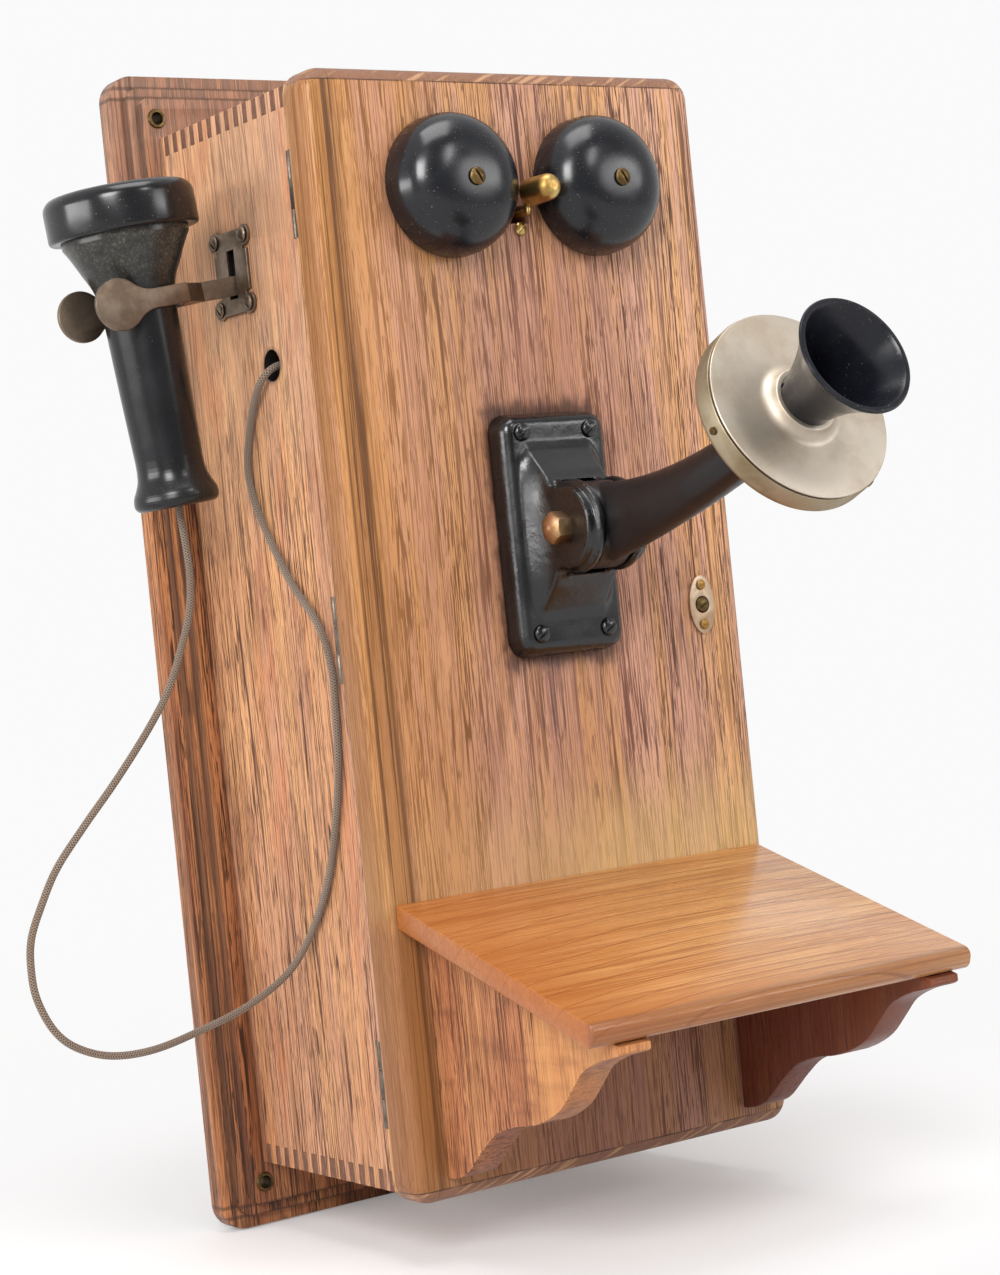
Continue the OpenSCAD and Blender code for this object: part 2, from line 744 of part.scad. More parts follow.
module terminal_block() {
    color(black) difference() {
        plate(box_back, terminal_t) translate([0, terminal_z])
            round_rect(terminal_n * terminal_step + 8, 24, 3);
        at_terminals() facing_front([0, 5, 0]) cylinder(r = post_pin_r + seat, h = 5 + cut);
    }
}

module binding_posts() {
    color(brass) at_terminals() facing_front([0, 4.9, 0]) {
        cylinder(r = post_pin_r, h = 16);
        translate([0, 0, 4.9]) cylinder(r = 4.5, h = 2);
        translate([0, 0, 9.4]) cylinder(r = 5, h = 4.5);
    }
}

// Latch: a slotted spindle in an oval plate turns a cam behind the strike
spindle_r = 2.6;
strike_t = 1.5;
strike_lip = 5;
cam_l = wall_in - strike_t - 0.4 - latch_x;
cam_r = 4.2;
cam_t = 3;
cam_y = door_back + 6;
module strike_plate() {
    color(brass) {
        block([wall_in - strike_t, cam_y - 3, latch_z - 15], [wall_in, cam_y + 18, latch_z + 15]);
        block([wall_in - strike_lip, cam_y - clear - 2, latch_z - 10],
            [wall_in - strike_t, cam_y - clear, latch_z + 10]);
    }
}

latch_plate_t = 1.4;
latch_plate_w = 14.2;
latch_plate_h = 27;
latch_pin_z = 9.2;
module latch_plate() {
    color(brass) translate([latch_x, door_front, latch_z]) {
        difference() {
            rotate([90, 0, 0]) linear_extrude(latch_plate_t)
                polygon([for (a = [0:10:350]) [latch_plate_w / 2 * cos(a), latch_plate_h / 2 * sin(a)]]);
            facing_front([0, cut, 0]) cylinder(r = 4, h = latch_plate_t + 2 * cut);
            for (z = [-1, 1]) facing_front([0, cut, z * latch_pin_z])
                cylinder(r = latch_pin_r, h = latch_plate_t + 2 * cut);
        }
        for (z = [-1, 1]) facing_front([0, -latch_plate_t, z * latch_pin_z])
            screw(2.4, 1.5, latch_pin_r - seat, pilot_l - 1, 20);
    }
}

module latch_screw() {
    color(brass) translate([latch_x, 0, latch_z]) {
        facing_front([0, door_front - 0.2, 0]) screw(3.6, 2.4, spindle_r, 1, 30);
        facing_front([0, cam_y + cam_t + 1, 0]) cylinder(r = spindle_r, h = cam_y + cam_t + 1 - door_front);
    }
}

module latch_cam() {
    color(steel) translate([latch_x, cam_y + cam_t, latch_z]) difference() {
        rotate([90, 0, 0]) linear_extrude(cam_t) {
            circle(5.4);
            translate([-cam_r, cam_r - cam_l]) square([2 * cam_r, cam_l - cam_r]);
            translate([0, cam_r - cam_l]) circle(cam_r);
        }
        facing_front([0, cut, 0]) cylinder(r = spindle_r + seat, h = cam_t + 2 * cut);
    }
}

// Door, with its rounded front edge
clapper_hole_z = gong_z - 12;
pilot_l = 9;
post_r = 5;
gong_screw_r = 2.2;
ringer_screw_r = 1.5;
latch_pin_r = 1.2;
module corner_puck() {
    rotate_extrude($fn = 32) polygon(concat([[0, 0], [door_r, 0]],
        arc(door_r - door_edge_r, door_t - door_edge_r, door_edge_r, 0, 90, 6), [[0, door_t]]));
}

module door() {
    color(oak) difference() {
        hull() for (x = [-1, 1], z = [-1, 1])
            facing_front([x * (door_w / 2 - door_r), door_back, z * (door_h / 2 - door_r)]) corner_puck();
        at_hinges() block([-door_w, door_back - hinge_y - leaf_t - seat, -hinge_h / 2 - seat],
            [leaf_door_w - door_side + seat, door_back - hinge_y + cut, hinge_h / 2 + seat]);
        block([-5, door_front - cut, clapper_hole_z - 4], [5, door_back + cut, clapper_hole_z + 4]);
        facing_front([latch_x, door_back + cut, latch_z]) cylinder(r = spindle_r + run, h = door_t + 2 * cut);
        for (z = [-1, 1]) facing_front([latch_x, door_front + pilot_l, latch_z + z * latch_pin_z])
            cylinder(r = latch_pin_r, h = pilot_l + cut);
        at_base_screws() facing_front([0, pilot_l, 0]) cylinder(r = base_screw_r + seat, h = pilot_l + cut);
        facing_front([0, door_front + pilot_l, ringer_screw_z])
            cylinder(r = ringer_screw_r + seat, h = pilot_l + cut);
    }
}

// Writing shelf: its back edge is cut to lie flat on the door
function shelf_under(reach) = shelf_z - shelf_t / cos(shelf_slope) - reach * tan(shelf_slope);
shelf_nose = 4;
module shelf() {
    drop = shelf_reach * tan(shelf_slope);
    over = [-shelf_reach, -drop];
    down = [sin(shelf_slope), -cos(shelf_slope)];
    in = [cos(shelf_slope), sin(shelf_slope)];
    nose_top = over + shelf_nose * in + shelf_nose * down;
    nose_low = over + shelf_nose * in + (shelf_t - shelf_nose) * down;
    color(oak_light) translate([0, door_front, shelf_z]) along_x(-shelf_w / 2, shelf_w) polygon(concat(
        [[0, -shelf_t / cos(shelf_slope)], [0, 0]],
        arc(nose_top[0], nose_top[1], shelf_nose, 90 + shelf_slope, 180 + shelf_slope, 5),
        arc(nose_low[0], nose_low[1], shelf_nose, 180 + shelf_slope, 270 + shelf_slope, 5)));
}

// Brackets: an ogee with a step in it, as the distance out from the door and the
// depth under the shelf, drawn for a reach of ogee_out and stretched to the shelf
left_bracket_x = -88;
right_bracket_x = 77;
bracket_out = shelf_reach - 2.5;
joint_out = 0.57 * bracket_out;
bracket_low = 110.5;
ogee_out = 135.5;
ogee = [[0, bracket_low], [9, 106.2], [16.5, 100.9], [24, 92.5], [31, 84.4], [42, 73.4], [56.5, 64.5],
    [67, 59.7], [78, 53.4], [91, 43], [101, 30.6], [109, 20.6], [121, 11.6], [134, 4.4], [ogee_out, 1.8]];
module bracket_outline() {
    polygon(concat([[0, shelf_under(0)]], [for (p = through(ogee, 4))
        let (out = p[0] * bracket_out / ogee_out) [-out, shelf_under(out) - p[1]]],
        [[-bracket_out, shelf_under(bracket_out)]]));
}

module bracket_pieces(from, to) {
    for (x = [left_bracket_x, right_bracket_x]) translate([0, door_front, 0]) along_x(x, bracket_t)
        intersection() {
            bracket_outline();
            translate([-to, -board_h]) square([to - from, board_h]);
        }
}

module shelf_brackets() { color(oak) bracket_pieces(0, joint_out); }
module bracket_fronts() { color(oak_light) bracket_pieces(joint_out, bracket_out + 5); }

// Gongs: a dome that is a rounded square in section
dome_power = 3.5;
gong_rim_y = door_front - gong_gap;
function dome(r, h, n) = [for (i = [0:n]) let (a = 90 * i / n)
    [r * pow(cos(a), 2 / dome_power), h * pow(sin(a), 2 / dome_power)]];
module at_gongs() {
    for (side = [-1, 1]) translate([side * gong_x, 0, gong_z]) children();
}

module gongs() {
    color(black) at_gongs() facing_front([0, gong_rim_y, 0]) difference() {
        rotate_extrude($fn = 64) polygon(concat([[0, 0]], dome(gong_r, gong_h, 14)));
        translate([0, 0, -0.01]) rotate_extrude($fn = 64)
            polygon(concat([[0, 0]], dome(gong_r - gong_t, gong_h - gong_t, 14)));
        cylinder(r = gong_screw_r + clear, h = gong_h + cut);
    }
}

module gong_screws() {
    post_l = gong_gap + gong_h - gong_t - seat;
    color(steel) at_gongs() {
        facing_front([0, door_front, 0]) difference() {
            cylinder(r = post_r, h = post_l);
            translate([0, 0, post_l - 10]) cylinder(r = gong_screw_r + seat, h = 10 + cut);
        }
        facing_front([0, gong_rim_y - gong_h, 0]) screw(4, 2.2, gong_screw_r, 9, 120);
    }
}

// Ringer on the back of the door: two coils, an armature rocking over them on a
// post, and a rod that carries the clapper's head out through the door
ringer_x = 18;
ringer_y = door_back + 19.3;
ringer_pin_z = gong_z - 33;
ringer_low = ringer_pin_z - 62;
ringer_high = ringer_pin_z + 10;
ringer_plate_t = 3;
ringer_pin_r = 1.5;
core_r = 4;
core_top = ringer_pin_z - 4.6;
ringer_screw_z = gong_z - 18.4;
clapper_z = gong_z - 4;
clapper_back = door_front - 10.4;
clapper_l = 18.4;
module ringer_frame() {
    color(iron) {
        plate(door_back + ringer_plate_t, ringer_plate_t) translate([0, (ringer_low + ringer_high) / 2])
            square([62, ringer_high - ringer_low], center = true);
        block([-28, door_back + ringer_plate_t - 0.01, ringer_low], [28, ringer_y + 8, ringer_low + 5]);
        for (side = [-1, 1]) translate([side * ringer_x, ringer_y, ringer_low])
            cylinder(r = core_r, h = core_top - ringer_low);
        facing_front([0, ringer_y + 12, ringer_pin_z])
            cylinder(r = ringer_pin_r, h = ringer_y + 12 - door_back - 1);
    }
}

module ringer_coils() {
    flange_t = 1.6;
    low = ringer_low + 5;
    high = core_top - 3;
    color(copper) for (side = [-1, 1]) translate([side * ringer_x, ringer_y, 0]) difference() {
        union() {
            translate([0, 0, low]) cylinder(r = 11, h = high - low);
            for (z = [low, high - flange_t]) translate([0, 0, z]) cylinder(r = 12.6, h = flange_t);
        }
        translate([0, 0, low - cut]) cylinder(r = core_r + seat, h = high - low + 2 * cut);
    }
}

module ringer_magnet() {
    back = ringer_y + 13.5;
    color(black) {
        block([-7, back, ringer_low], [7, back + 5, ringer_low + 68]);
        block([-7, ringer_y + 8, ringer_low], [7, back, ringer_low + 5]);
    }
}

module ringer_screw() {
    color(brass) facing_front([0, door_front, ringer_screw_z])
        screw(3.1, 2.4, ringer_screw_r, pilot_l - 1, 40);
}

rod_r = 1.5;
module clapper_rod() {
    top = clapper_hole_z;
    color(brass) {
        difference() {
            union() {
                facing_front([0, ringer_y + 6, ringer_pin_z]) cylinder(r = 4, h = 14);
                block([-26, ringer_y - 6, ringer_pin_z - 1.5], [26, ringer_y + 6, ringer_pin_z + 1.5]);
                translate([0, ringer_y, ringer_pin_z]) cylinder(r = rod_r, h = top - ringer_pin_z);
            }
            facing_front([0, ringer_y + 20, ringer_pin_z]) cylinder(r = ringer_pin_r + run, h = 40);
        }
        translate([0, ringer_y, top]) sphere(r = rod_r, $fn = 24);
        facing_front([0, ringer_y, top]) cylinder(r = rod_r, h = ringer_y - clapper_back - 3);
        translate([0, clapper_back + 3, top]) sphere(r = rod_r, $fn = 24);
        translate([0, clapper_back + 3, top]) cylinder(r = rod_r, h = clapper_z - top);
        translate([0, clapper_back + 3, clapper_z]) sphere(r = rod_r, $fn = 24);
        facing_front([0, clapper_back + 3, clapper_z]) cylinder(r = rod_r, h = 9);
    }
}

module clapper_head() {
    color(brass) facing_front([0, clapper_back, clapper_z]) difference() {
        rotate_extrude() polygon(concat([[0, 0], [clapper_r - 0.6, 0], [clapper_r, 0.6]],
            arc(clapper_r - 4.6, clapper_l - 4.2, 4.2, 5, 90, 8), [[0, clapper_l]]));
        translate([0, 0, -cut]) cylinder(r = rod_r + seat, h = 6 + cut + seat);
    }
}

// Transmitter base: a plate with a bell-shaped swelling, slotted for the arm,
// whose two sides end in round ears
base_z = pivot_z - 1.4;
pivot_y = door_front - pivot_out;
ear_in = 9.2;
ear_rim = 12.6;
ear_out = 17;
base_screw_dx = 36.8;
base_screw_dz = 89.2;
base_screw_r = 2.2;
base_front = door_front - base_t;
base_low = 0.5;
base_draft = 0.8;
base_edge = 5;
base_round = 6.5;
base_r = 8.5;
horn_root = 19.3;
slot_half = horn_root + 1.5;
swell_out = 17;
swell_half = ear_r + 20;
module at_base_screws() {
    for (x = [-1, 1], z = [-1, 1])
        translate([x * base_screw_dx / 2, door_front, base_z + 0.7 + z * base_screw_dz / 2]) children();
}

module ear(half_w, r) {
    out = pivot_out - base_t;
    translate([0, pivot_y, pivot_z]) along_x(-half_w, 2 * half_w)
        polygon(concat([[out + 1.5, -r - 7.3], [out - 6, -r - 2]], arc(0, 0, r, 285, 75, 20),
            [[out - 6, r + 2], [out + 1.5, r + 7.3]]));
}

// The swelling, as rings from its low end to its high end
swell_rings = 16;
swell_steps = 8;
function swell_rise(t) = (swell_out + base_low) * (0.5 + 0.5 * cos(180 * pow(t, 1.7))) - base_low;
swell_foot = base_w / 2 - base_draft - base_edge - 0.3;
swell_top = ear_out - 0.3;
swell_sunk = 0.4;
function swell_x(t) = swell_top + (swell_foot - swell_top) * pow(1 - t, 1.7);
function swell_ring(k) = let (t = abs(2 * k / swell_rings - 1), out = 0.2 + swell_rise(t),
        side = [for (i = [0:swell_steps])
            [swell_x(i / swell_steps), i / swell_steps * (out + swell_sunk) - swell_sunk]])
    concat([[swell_foot, -5]], side, [for (i = [swell_steps:-1:0]) [-side[i][0], side[i][1]]],
        [[-swell_foot, -5]]);
module swelling() {
    rings = [for (k = [0:swell_rings]) [for (p = swell_ring(k))
        [p[0], base_front - p[1], pivot_z + swell_half * (2 * k / swell_rings - 1)]]];
    n = len(rings[0]);
    polyhedron(points = [for (r = rings) for (p = r) p], faces = concat(
        [[for (i = [n - 1:-1:0]) i]], [[for (i = [0:n - 1]) swell_rings * n + i]],
        [for (k = [0:swell_rings - 1]) for (i = [0:n - 1]) let (j = (i + 1) % n)
            [k * n + i, k * n + j, (k + 1) * n + j]],
        [for (k = [0:swell_rings - 1]) for (i = [0:n - 1]) let (j = (i + 1) % n)
            [k * n + i, (k + 1) * n + j, (k + 1) * n + i]]));
}

module transmitter_base() {
    color(black) difference() {
        union() {
            hull() {
                plate(door_front, 1) translate([0, base_z]) round_rect(base_w, base_h, base_r);
                for (a = [0:15:90]) {
                    inset = base_draft + base_edge * (1 - cos(a));
                    level = base_t - base_round * (1 - sin(a));
                    plate(door_front - level + 0.4, 0.4) translate([0, base_z])
                        round_rect(base_w - 2 * inset, base_h - 2 * inset, base_r - inset);
                }
            }
            ear(ear_rim, ear_r);
            ear(ear_out, ear_r - 2.6);
            swelling();
        }
        block([-ear_in, pivot_y - ear_r - cut, pivot_z - slot_half],
            [ear_in, base_front + 3, pivot_z + slot_half]);
        facing_right([-base_w / 2, pivot_y, pivot_z]) cylinder(r = bolt_r + seat, h = base_w);
        at_base_screws() facing_front([0, cut, 0]) cylinder(r = base_screw_r + seat, h = base_t + 2 * cut);
    }
}

module base_screws() {
    color(black) at_base_screws() facing_front([0, -base_t, 0])
        screw(4, 2.4, base_screw_r, base_t + pilot_l - 1, 35);
}

module pivot_bolt() {
    bolt_head = 7.2;
    color(bronze) {
        facing_right([-ear_out, pivot_y, pivot_z]) cylinder(r = bolt_r, h = 2 * ear_out + 7);
        facing_left([-ear_out, pivot_y, pivot_z]) intersection() {
            cylinder(r = bolt_head, h = 8.4, $fn = 6);
            rotate_extrude() polygon(concat([[0, -cut], [bolt_head + 1, -cut]],
                [for (a = [0:15:90]) [(bolt_head + 1) * cos(a), 4.8 + 3.6 * sin(a)]]));
        }
        facing_right([ear_out, pivot_y, pivot_z]) cylinder(r = bolt_head, h = 5, $fn = 6);
    }
}

// Transmitter: everything on its arm tilts with it. Its own frame has +Z
// pointing out of the face, at the face's centre.
face_y = pivot_y - 143.3;
face_z = pivot_z + 35.8;
module on_face() {
    translate([0, face_y, face_z]) rotate([90 - face_tilt, 0, 0]) children();
}

// Arm: a curved horn, swept along a bend from the pivot to the cup's back
function bend(a, b, c, d, t) =
    a * pow(1 - t, 3) + 3 * b * t * pow(1 - t, 2) + 3 * c * t * t * (1 - t) + d * pow(t, 3);
cup_back = [face_y + cup_d * cos(face_tilt), face_z - cup_d * sin(face_tilt)];
horn = [[pivot_y, pivot_z], [pivot_y - 42, pivot_z + 1],
    cup_back + 36 * [cos(face_tilt), -sin(face_tilt)], cup_back];
horn_n = 12;
horn_sides = 24;
horn_tip = 10;
horn_w = ear_in - clear;
horn_tip_w = 10;
function horn_at(t) = bend(horn[0], horn[1], horn[2], horn[3], t);
function horn_dir(t) = let (d = horn_at(min(1, t + 0.01)) - horn_at(max(0, t - 0.01))) d / norm(d);
function horn_high(t) = horn_tip + (horn_root - horn_tip) * pow(1 - t, 2.4);
function horn_wide(t) = horn_w + (horn_tip_w - horn_w) * min(1, max(0, t - 0.25) / 0.3);
function horn_ring(t) = let (c = horn_at(t), d = t > 0.99 ? [-cos(face_tilt), sin(face_tilt)] : horn_dir(t))
    [for (i = [0:horn_sides - 1]) let (a = 360 * i / horn_sides, h = horn_high(t) * sin(a))
        [horn_wide(t) * cos(a), c[0] + h * d[1], c[1] - h * d[0]]];
module horn_body(from) {
    rings = [for (k = [0:horn_n]) horn_ring(from + (1 - from) * k / horn_n)];
    polyhedron(points = [for (r = rings) for (p = r) p],
        faces = concat([[for (i = [0:horn_sides - 1]) i]],
            [[for (i = [horn_sides - 1:-1:0]) horn_n * horn_sides + i]],
            [for (k = [0:horn_n - 1]) for (i = [0:horn_sides - 1]) let (j = (i + 1) % horn_sides)
                [k * horn_sides + i, (k + 1) * horn_sides + i, (k + 1) * horn_sides + j,
                    k * horn_sides + j]]));
}

root_w = 2 * horn_w;
module transmitter_arm() {
    color(black) difference() {
        union() {
            intersection() {
                horn_body(0.08);
                block([-root_w, cup_back[0] - 30, 0], [root_w, pivot_y - 6, 120]);
            }
            facing_right([-root_w / 2, pivot_y, pivot_z]) cylinder(r = horn_root, h = root_w);
        }
        facing_right([-30, pivot_y, pivot_z]) cylinder(r = bolt_r + run, h = 60);
    }
}

cup_wall = 1.6;
face_t = 1.3;
face_edge = 0.3;
module transmitter_cup() {
    corner = 3.5;
    color(nickel) on_face() difference() {
        rotate_extrude($fn = 96) polygon(concat([[0, -cup_d]],
            arc(face_r - corner, -cup_d + corner, corner, -90, 0, 5),
                [[face_r, -face_t - seat], [0, -face_t - seat]]));
        rotate_extrude($fn = 96) polygon([[0, -cup_d + 2], [face_r - cup_wall - 2.4, -cup_d + 2],
            [face_r - cup_wall, -cup_d + 4.4], [face_r - cup_wall, 0], [0, 0]]);
    }
}

// Face: a flat plate, whose collar rises in a hollow curve round the mouthpiece
collar_r = 14.2;
collar_h = 4.6;
collar_sweep = 5.5;
mouth_neck_r = 12;
face_depth = 3.4;
module face_plate() {
    top_r = face_r - face_edge;
    inner = face_r - cup_wall - seat;
    color(nickel) on_face() difference() {
        rotate_extrude($fn = 96) polygon(concat([[0, -face_depth], [0, collar_h],
            [collar_r - 1, collar_h], [collar_r, collar_h - 0.8]],
            arc(collar_r + 0.95 * collar_sweep, collar_sweep, collar_sweep, 200, 270, 7),
            arc(top_r - 0.6, -0.6, 0.6, 90, 0, 3),
                [[top_r, -face_t], [inner, -face_t], [inner, -face_depth]]));
        translate([0, 0, -face_depth - cut])
            cylinder(r = mouth_neck_r + seat, h = face_depth + collar_h + 2 * cut);
    }
}

screw_turns = [-52, 68, 188];
module face_screws() {
    color(steel) on_face() for (a = screw_turns) rotate([0, 0, a]) translate([face_r, 0, -cup_d / 2])
        rotate([0, 90, 0]) cylinder(r = 1.6, h = 0.9);
}

// Mouthpiece: its flare as shares of its length and of its widening
flare_out = [[0.1, 0], [0.22, 0.03], [0.5, 0.27], [0.76, 0.6], [0.96, 0.96]];
flare_in = [[1, 1], [0.75, 0.53], [0.5, 0.24], [0.28, 0.05]];
grille_z = 7;
grille_t = 2;
throat_r = mouth_neck_r - 2.4;
vent_turn = 150;
module mouthpiece() {
    foot = -face_depth;
    outer = through([for (p = flare_out)
        [mouth_neck_r + p[1] * (mouth_r - mouth_neck_r), p[0] * mouth_l]], 5);
    inner = through([for (p = flare_in) [throat_r + p[1] * (mouth_r - 2.4 - throat_r), p[0] * mouth_l]], 5);
    color(black) on_face() difference() {
        rotate_extrude($fn = 64) polygon(concat([[0, foot], [mouth_neck_r, foot]], outer,
            [[mouth_r, mouth_l - 0.8], [mouth_r - 0.5, mouth_l]], inner,
                [[throat_r, grille_z], [0, grille_z]]));
        translate([0, 0, foot - cut]) cylinder(r = throat_r - 0.6, h = grille_z - grille_t - foot + cut);
        for (ring = [0, 1, 2], i = [0:max(1, 6 * ring) - 1]) rotate([0, 0, i * 60 / max(1, ring)])
            translate([3.4 * ring, 0, 0]) cylinder(r = 0.9, h = grille_z + cut, $fn = 16);
        rotate([0, 0, vent_turn]) translate([throat_r - 2, 0, collar_h + 1.2]) rotate([0, 90, 0])
            cylinder(r = 1.1, h = 8);
    }
}

module transmitter_button() {
    disc_r = face_r - cup_wall - 0.8;
    disc_z = -face_depth - 0.8;
    color(brass) on_face() {
        translate([0, 0, disc_z]) cylinder(r = disc_r, h = 0.6);
        translate([0, 0, -cup_d + 2]) cylinder(r = 11, h = cup_d - 2 + disc_z);
    }
}

// Receiver: its own frame has +Z along its axis towards the ear, and its
// origin at the centre of the cap's top
receiver_top = [-wall_out - 55.1, hook_y, hook_z + 34.4];
flare_r = 28.2;
flare_l = 59;
shell_wall = 3;
module on_receiver() {
    translate(receiver_top) rotate([0, -receiver_lean, 0]) children();
}

rest_r = prong_gap / 2 - clear;
rest_l = 46.5;
function shell_profile(inset) = [[flare_r - inset, -cap_h - 2.5],
    [25.6 - inset, -cap_h - 7], [21.8 - inset, -35], [rest_r + 1.1 - inset, -rest_l + 5],
    [rest_r - inset, -rest_l], [16.7 - inset, -rest_l - 6], [16.4 - inset, -flare_l], [grip_r + 0.8 - inset, -90],
        [grip_r - inset, 22 - receiver_l]];
module receiver_shell() {
    flare = tail_r - grip_r;
    tail = [[grip_r, 22 - receiver_l], [grip_r + 0.04 * flare, 17 - receiver_l],
        [grip_r + 0.2 * flare, 13.4 - receiver_l], [grip_r + 0.52 * flare, 10.2 - receiver_l],
        [grip_r + 0.88 * flare, 7.2 - receiver_l], [tail_r, 4.6 - receiver_l]];
    color(black) on_receiver() difference() {
        rotate_extrude($fn = 64) polygon(concat([[0, -cap_h + 5], [flare_r, -cap_h + 5]],
            through(shell_profile(0), 3), through(tail, 3),
            arc(tail_r - 3.4, 3.8 - receiver_l, 3.4, -5, -90, 5), [[0, 0.4 - receiver_l]]));
        rotate_extrude($fn = 48) polygon(concat([[0, -cap_h + 6], [flare_r - shell_wall, -cap_h + 6]],
            through(shell_profile(shell_wall), 3),
            [[grip_r - shell_wall, 18 - receiver_l], [0, 18 - receiver_l]]));
        translate([0, 0, -receiver_l]) cylinder(d = cord_d + 0.6, h = 20);
    }
}

ear_hole_r = 5;
module receiver_cap() {
    color(black) on_receiver() difference() {
        rotate_extrude($fn = 96) polygon(concat([[0, -1.6], [ear_hole_r + 1, -1.6], [14, -1.2], [25, 0]],
            arc(cap_r - 6, -6, 6, 85, 0, 6), arc(cap_r - 1.6, -cap_h + 1.6, 1.6, 0, -90, 4), [[0, -cap_h]]));
        translate([0, 0, -cap_h - cut]) cylinder(r = flare_r + seat, h = cap_h - 6);
        translate([0, 0, -10]) cylinder(r = ear_hole_r, h = 12);
    }
}

module receiver_diaphragm() {
    color(iron) on_receiver() translate([0, 0, -cap_h + 5 + 0.02]) cylinder(r = flare_r - 0.4, h = 0.5);
}

module receiver_magnet() {
    color(iron) on_receiver() {
        for (side = [-1, 1]) block([side * 6 - 2.5, -4, 18 - receiver_l], [side * 6 + 2.5, 4, -cap_h - 8]);
        block([-8.5, -4, -cap_h - 16], [8.5, 4, -cap_h - 8]);
        for (side = [-1, 1]) translate([side * 6, 0, -cap_h - 8]) cylinder(r = 4, h = 11);
    }
}

// Cord: swept along hand-chosen points from the hole in the box to the
// receiver's tail
route = [[-92.5, -103, 124], [-98, -103, 124], [-103.5, -103, 121.5], [-106, -99, 117], [-105, -89, 108],
    [-104, -80, 94], [-104, -76, 80], [-104, -79, 66], [-104, -88, 50], [-104, -104, 28], [-104, -124, 8],
    [-104, -132, -11], [-104, -132, -31], [-104, -129, -57], [-104, -121, -83], [-104, -109, -108],
    [-105, -91, -131], [-112, -80, -147], [-134, -81, -158], [-160, -85, -164], [-185, -88, -168],
    [-206, -90, -167], [-222, -91, -161], [-232, -91, -152], [-238, -90, -138], [-239, -89, -125],
    [-237, -88, -112], [-230, -87, -98], [-221, -86, -84], [-206, -85, -68], [-188, -84, -50],
    [-170, -83, -30], [-158, -82, -14], [-149, -81, 4], [-143, -80, 19], [-140.3, -79, 34],
    [-140.2, -78, 48], [-141.2, -77.7, 60], [-141.8, -77.7, 66.2]];
cord_sides = 8;
cord_rings = 2;
function unit(v) = v / norm(v);
function cord_ring(p, d) = let (u = unit(cross(d, [0, 1, 0.2])), v = cross(d, u))
    [for (i = [0:cord_sides - 1]) let (a = 360 * i / cord_sides) p + cord_d / 2 * (cos(a) * u + sin(a) * v)];
module receiver_cord() {
    line = through(route, cord_rings);
    last = len(line) - 1;
    rings = [for (k = [0:last]) cord_ring(line[k], unit(line[min(k + 1, last)] - line[max(k - 1, 0)]))];
    color(braid) polyhedron(points = [for (r = rings) for (p = r) p],
        faces = concat([[for (i = [0:cord_sides - 1]) i]],
            [[for (i = [cord_sides - 1:-1:0]) last * cord_sides + i]],
            [for (k = [0:last - 1]) for (i = [0:cord_sides - 1]) let (j = (i + 1) % cord_sides)
                [k * cord_sides + i, (k + 1) * cord_sides + i, (k + 1) * cord_sides + j,
                    k * cord_sides + j]]));
}

module box_top() { color(oak_side) level_board(1); }
module box_bottom() { color(oak_side) level_board(-1); }

backboard();
eyelets();
box_left();
box_right();
box_top();
box_bottom();
escutcheon();
side_screws();
switch_bracket();
lifting_spring();
contact_springs();
generator_shelf();
generator_frame();
horseshoe_magnets();
crank_bushing();
induction_coil();
condenser();
terminal_block();
binding_posts();
strike_plate();
hinge_leaves_box();
cord_cleat();
receiver_cord();
crank_shaft();
crank_arm();
drive_gear();
crank_knob();
generator_armature();
pinion();
hook_lever();
hook_fork();
receiver_shell();
receiver_cap();
receiver_diaphragm();
receiver_magnet();
door();
hinge_leaves_door();
shelf();
shelf_brackets();
bracket_fronts();
gongs();
gong_screws();
ringer_frame();
ringer_coils();
ringer_magnet();
ringer_screw();
transmitter_base();
base_screws();
pivot_bolt();
latch_plate();
latch_screw();
latch_cam();
clapper_rod();
clapper_head();
transmitter_arm();
transmitter_cup();
face_plate();
face_screws();
mouthpiece();
transmitter_button();
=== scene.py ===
import json
import math

import bmesh
import bpy
from mathutils import Matrix, Vector


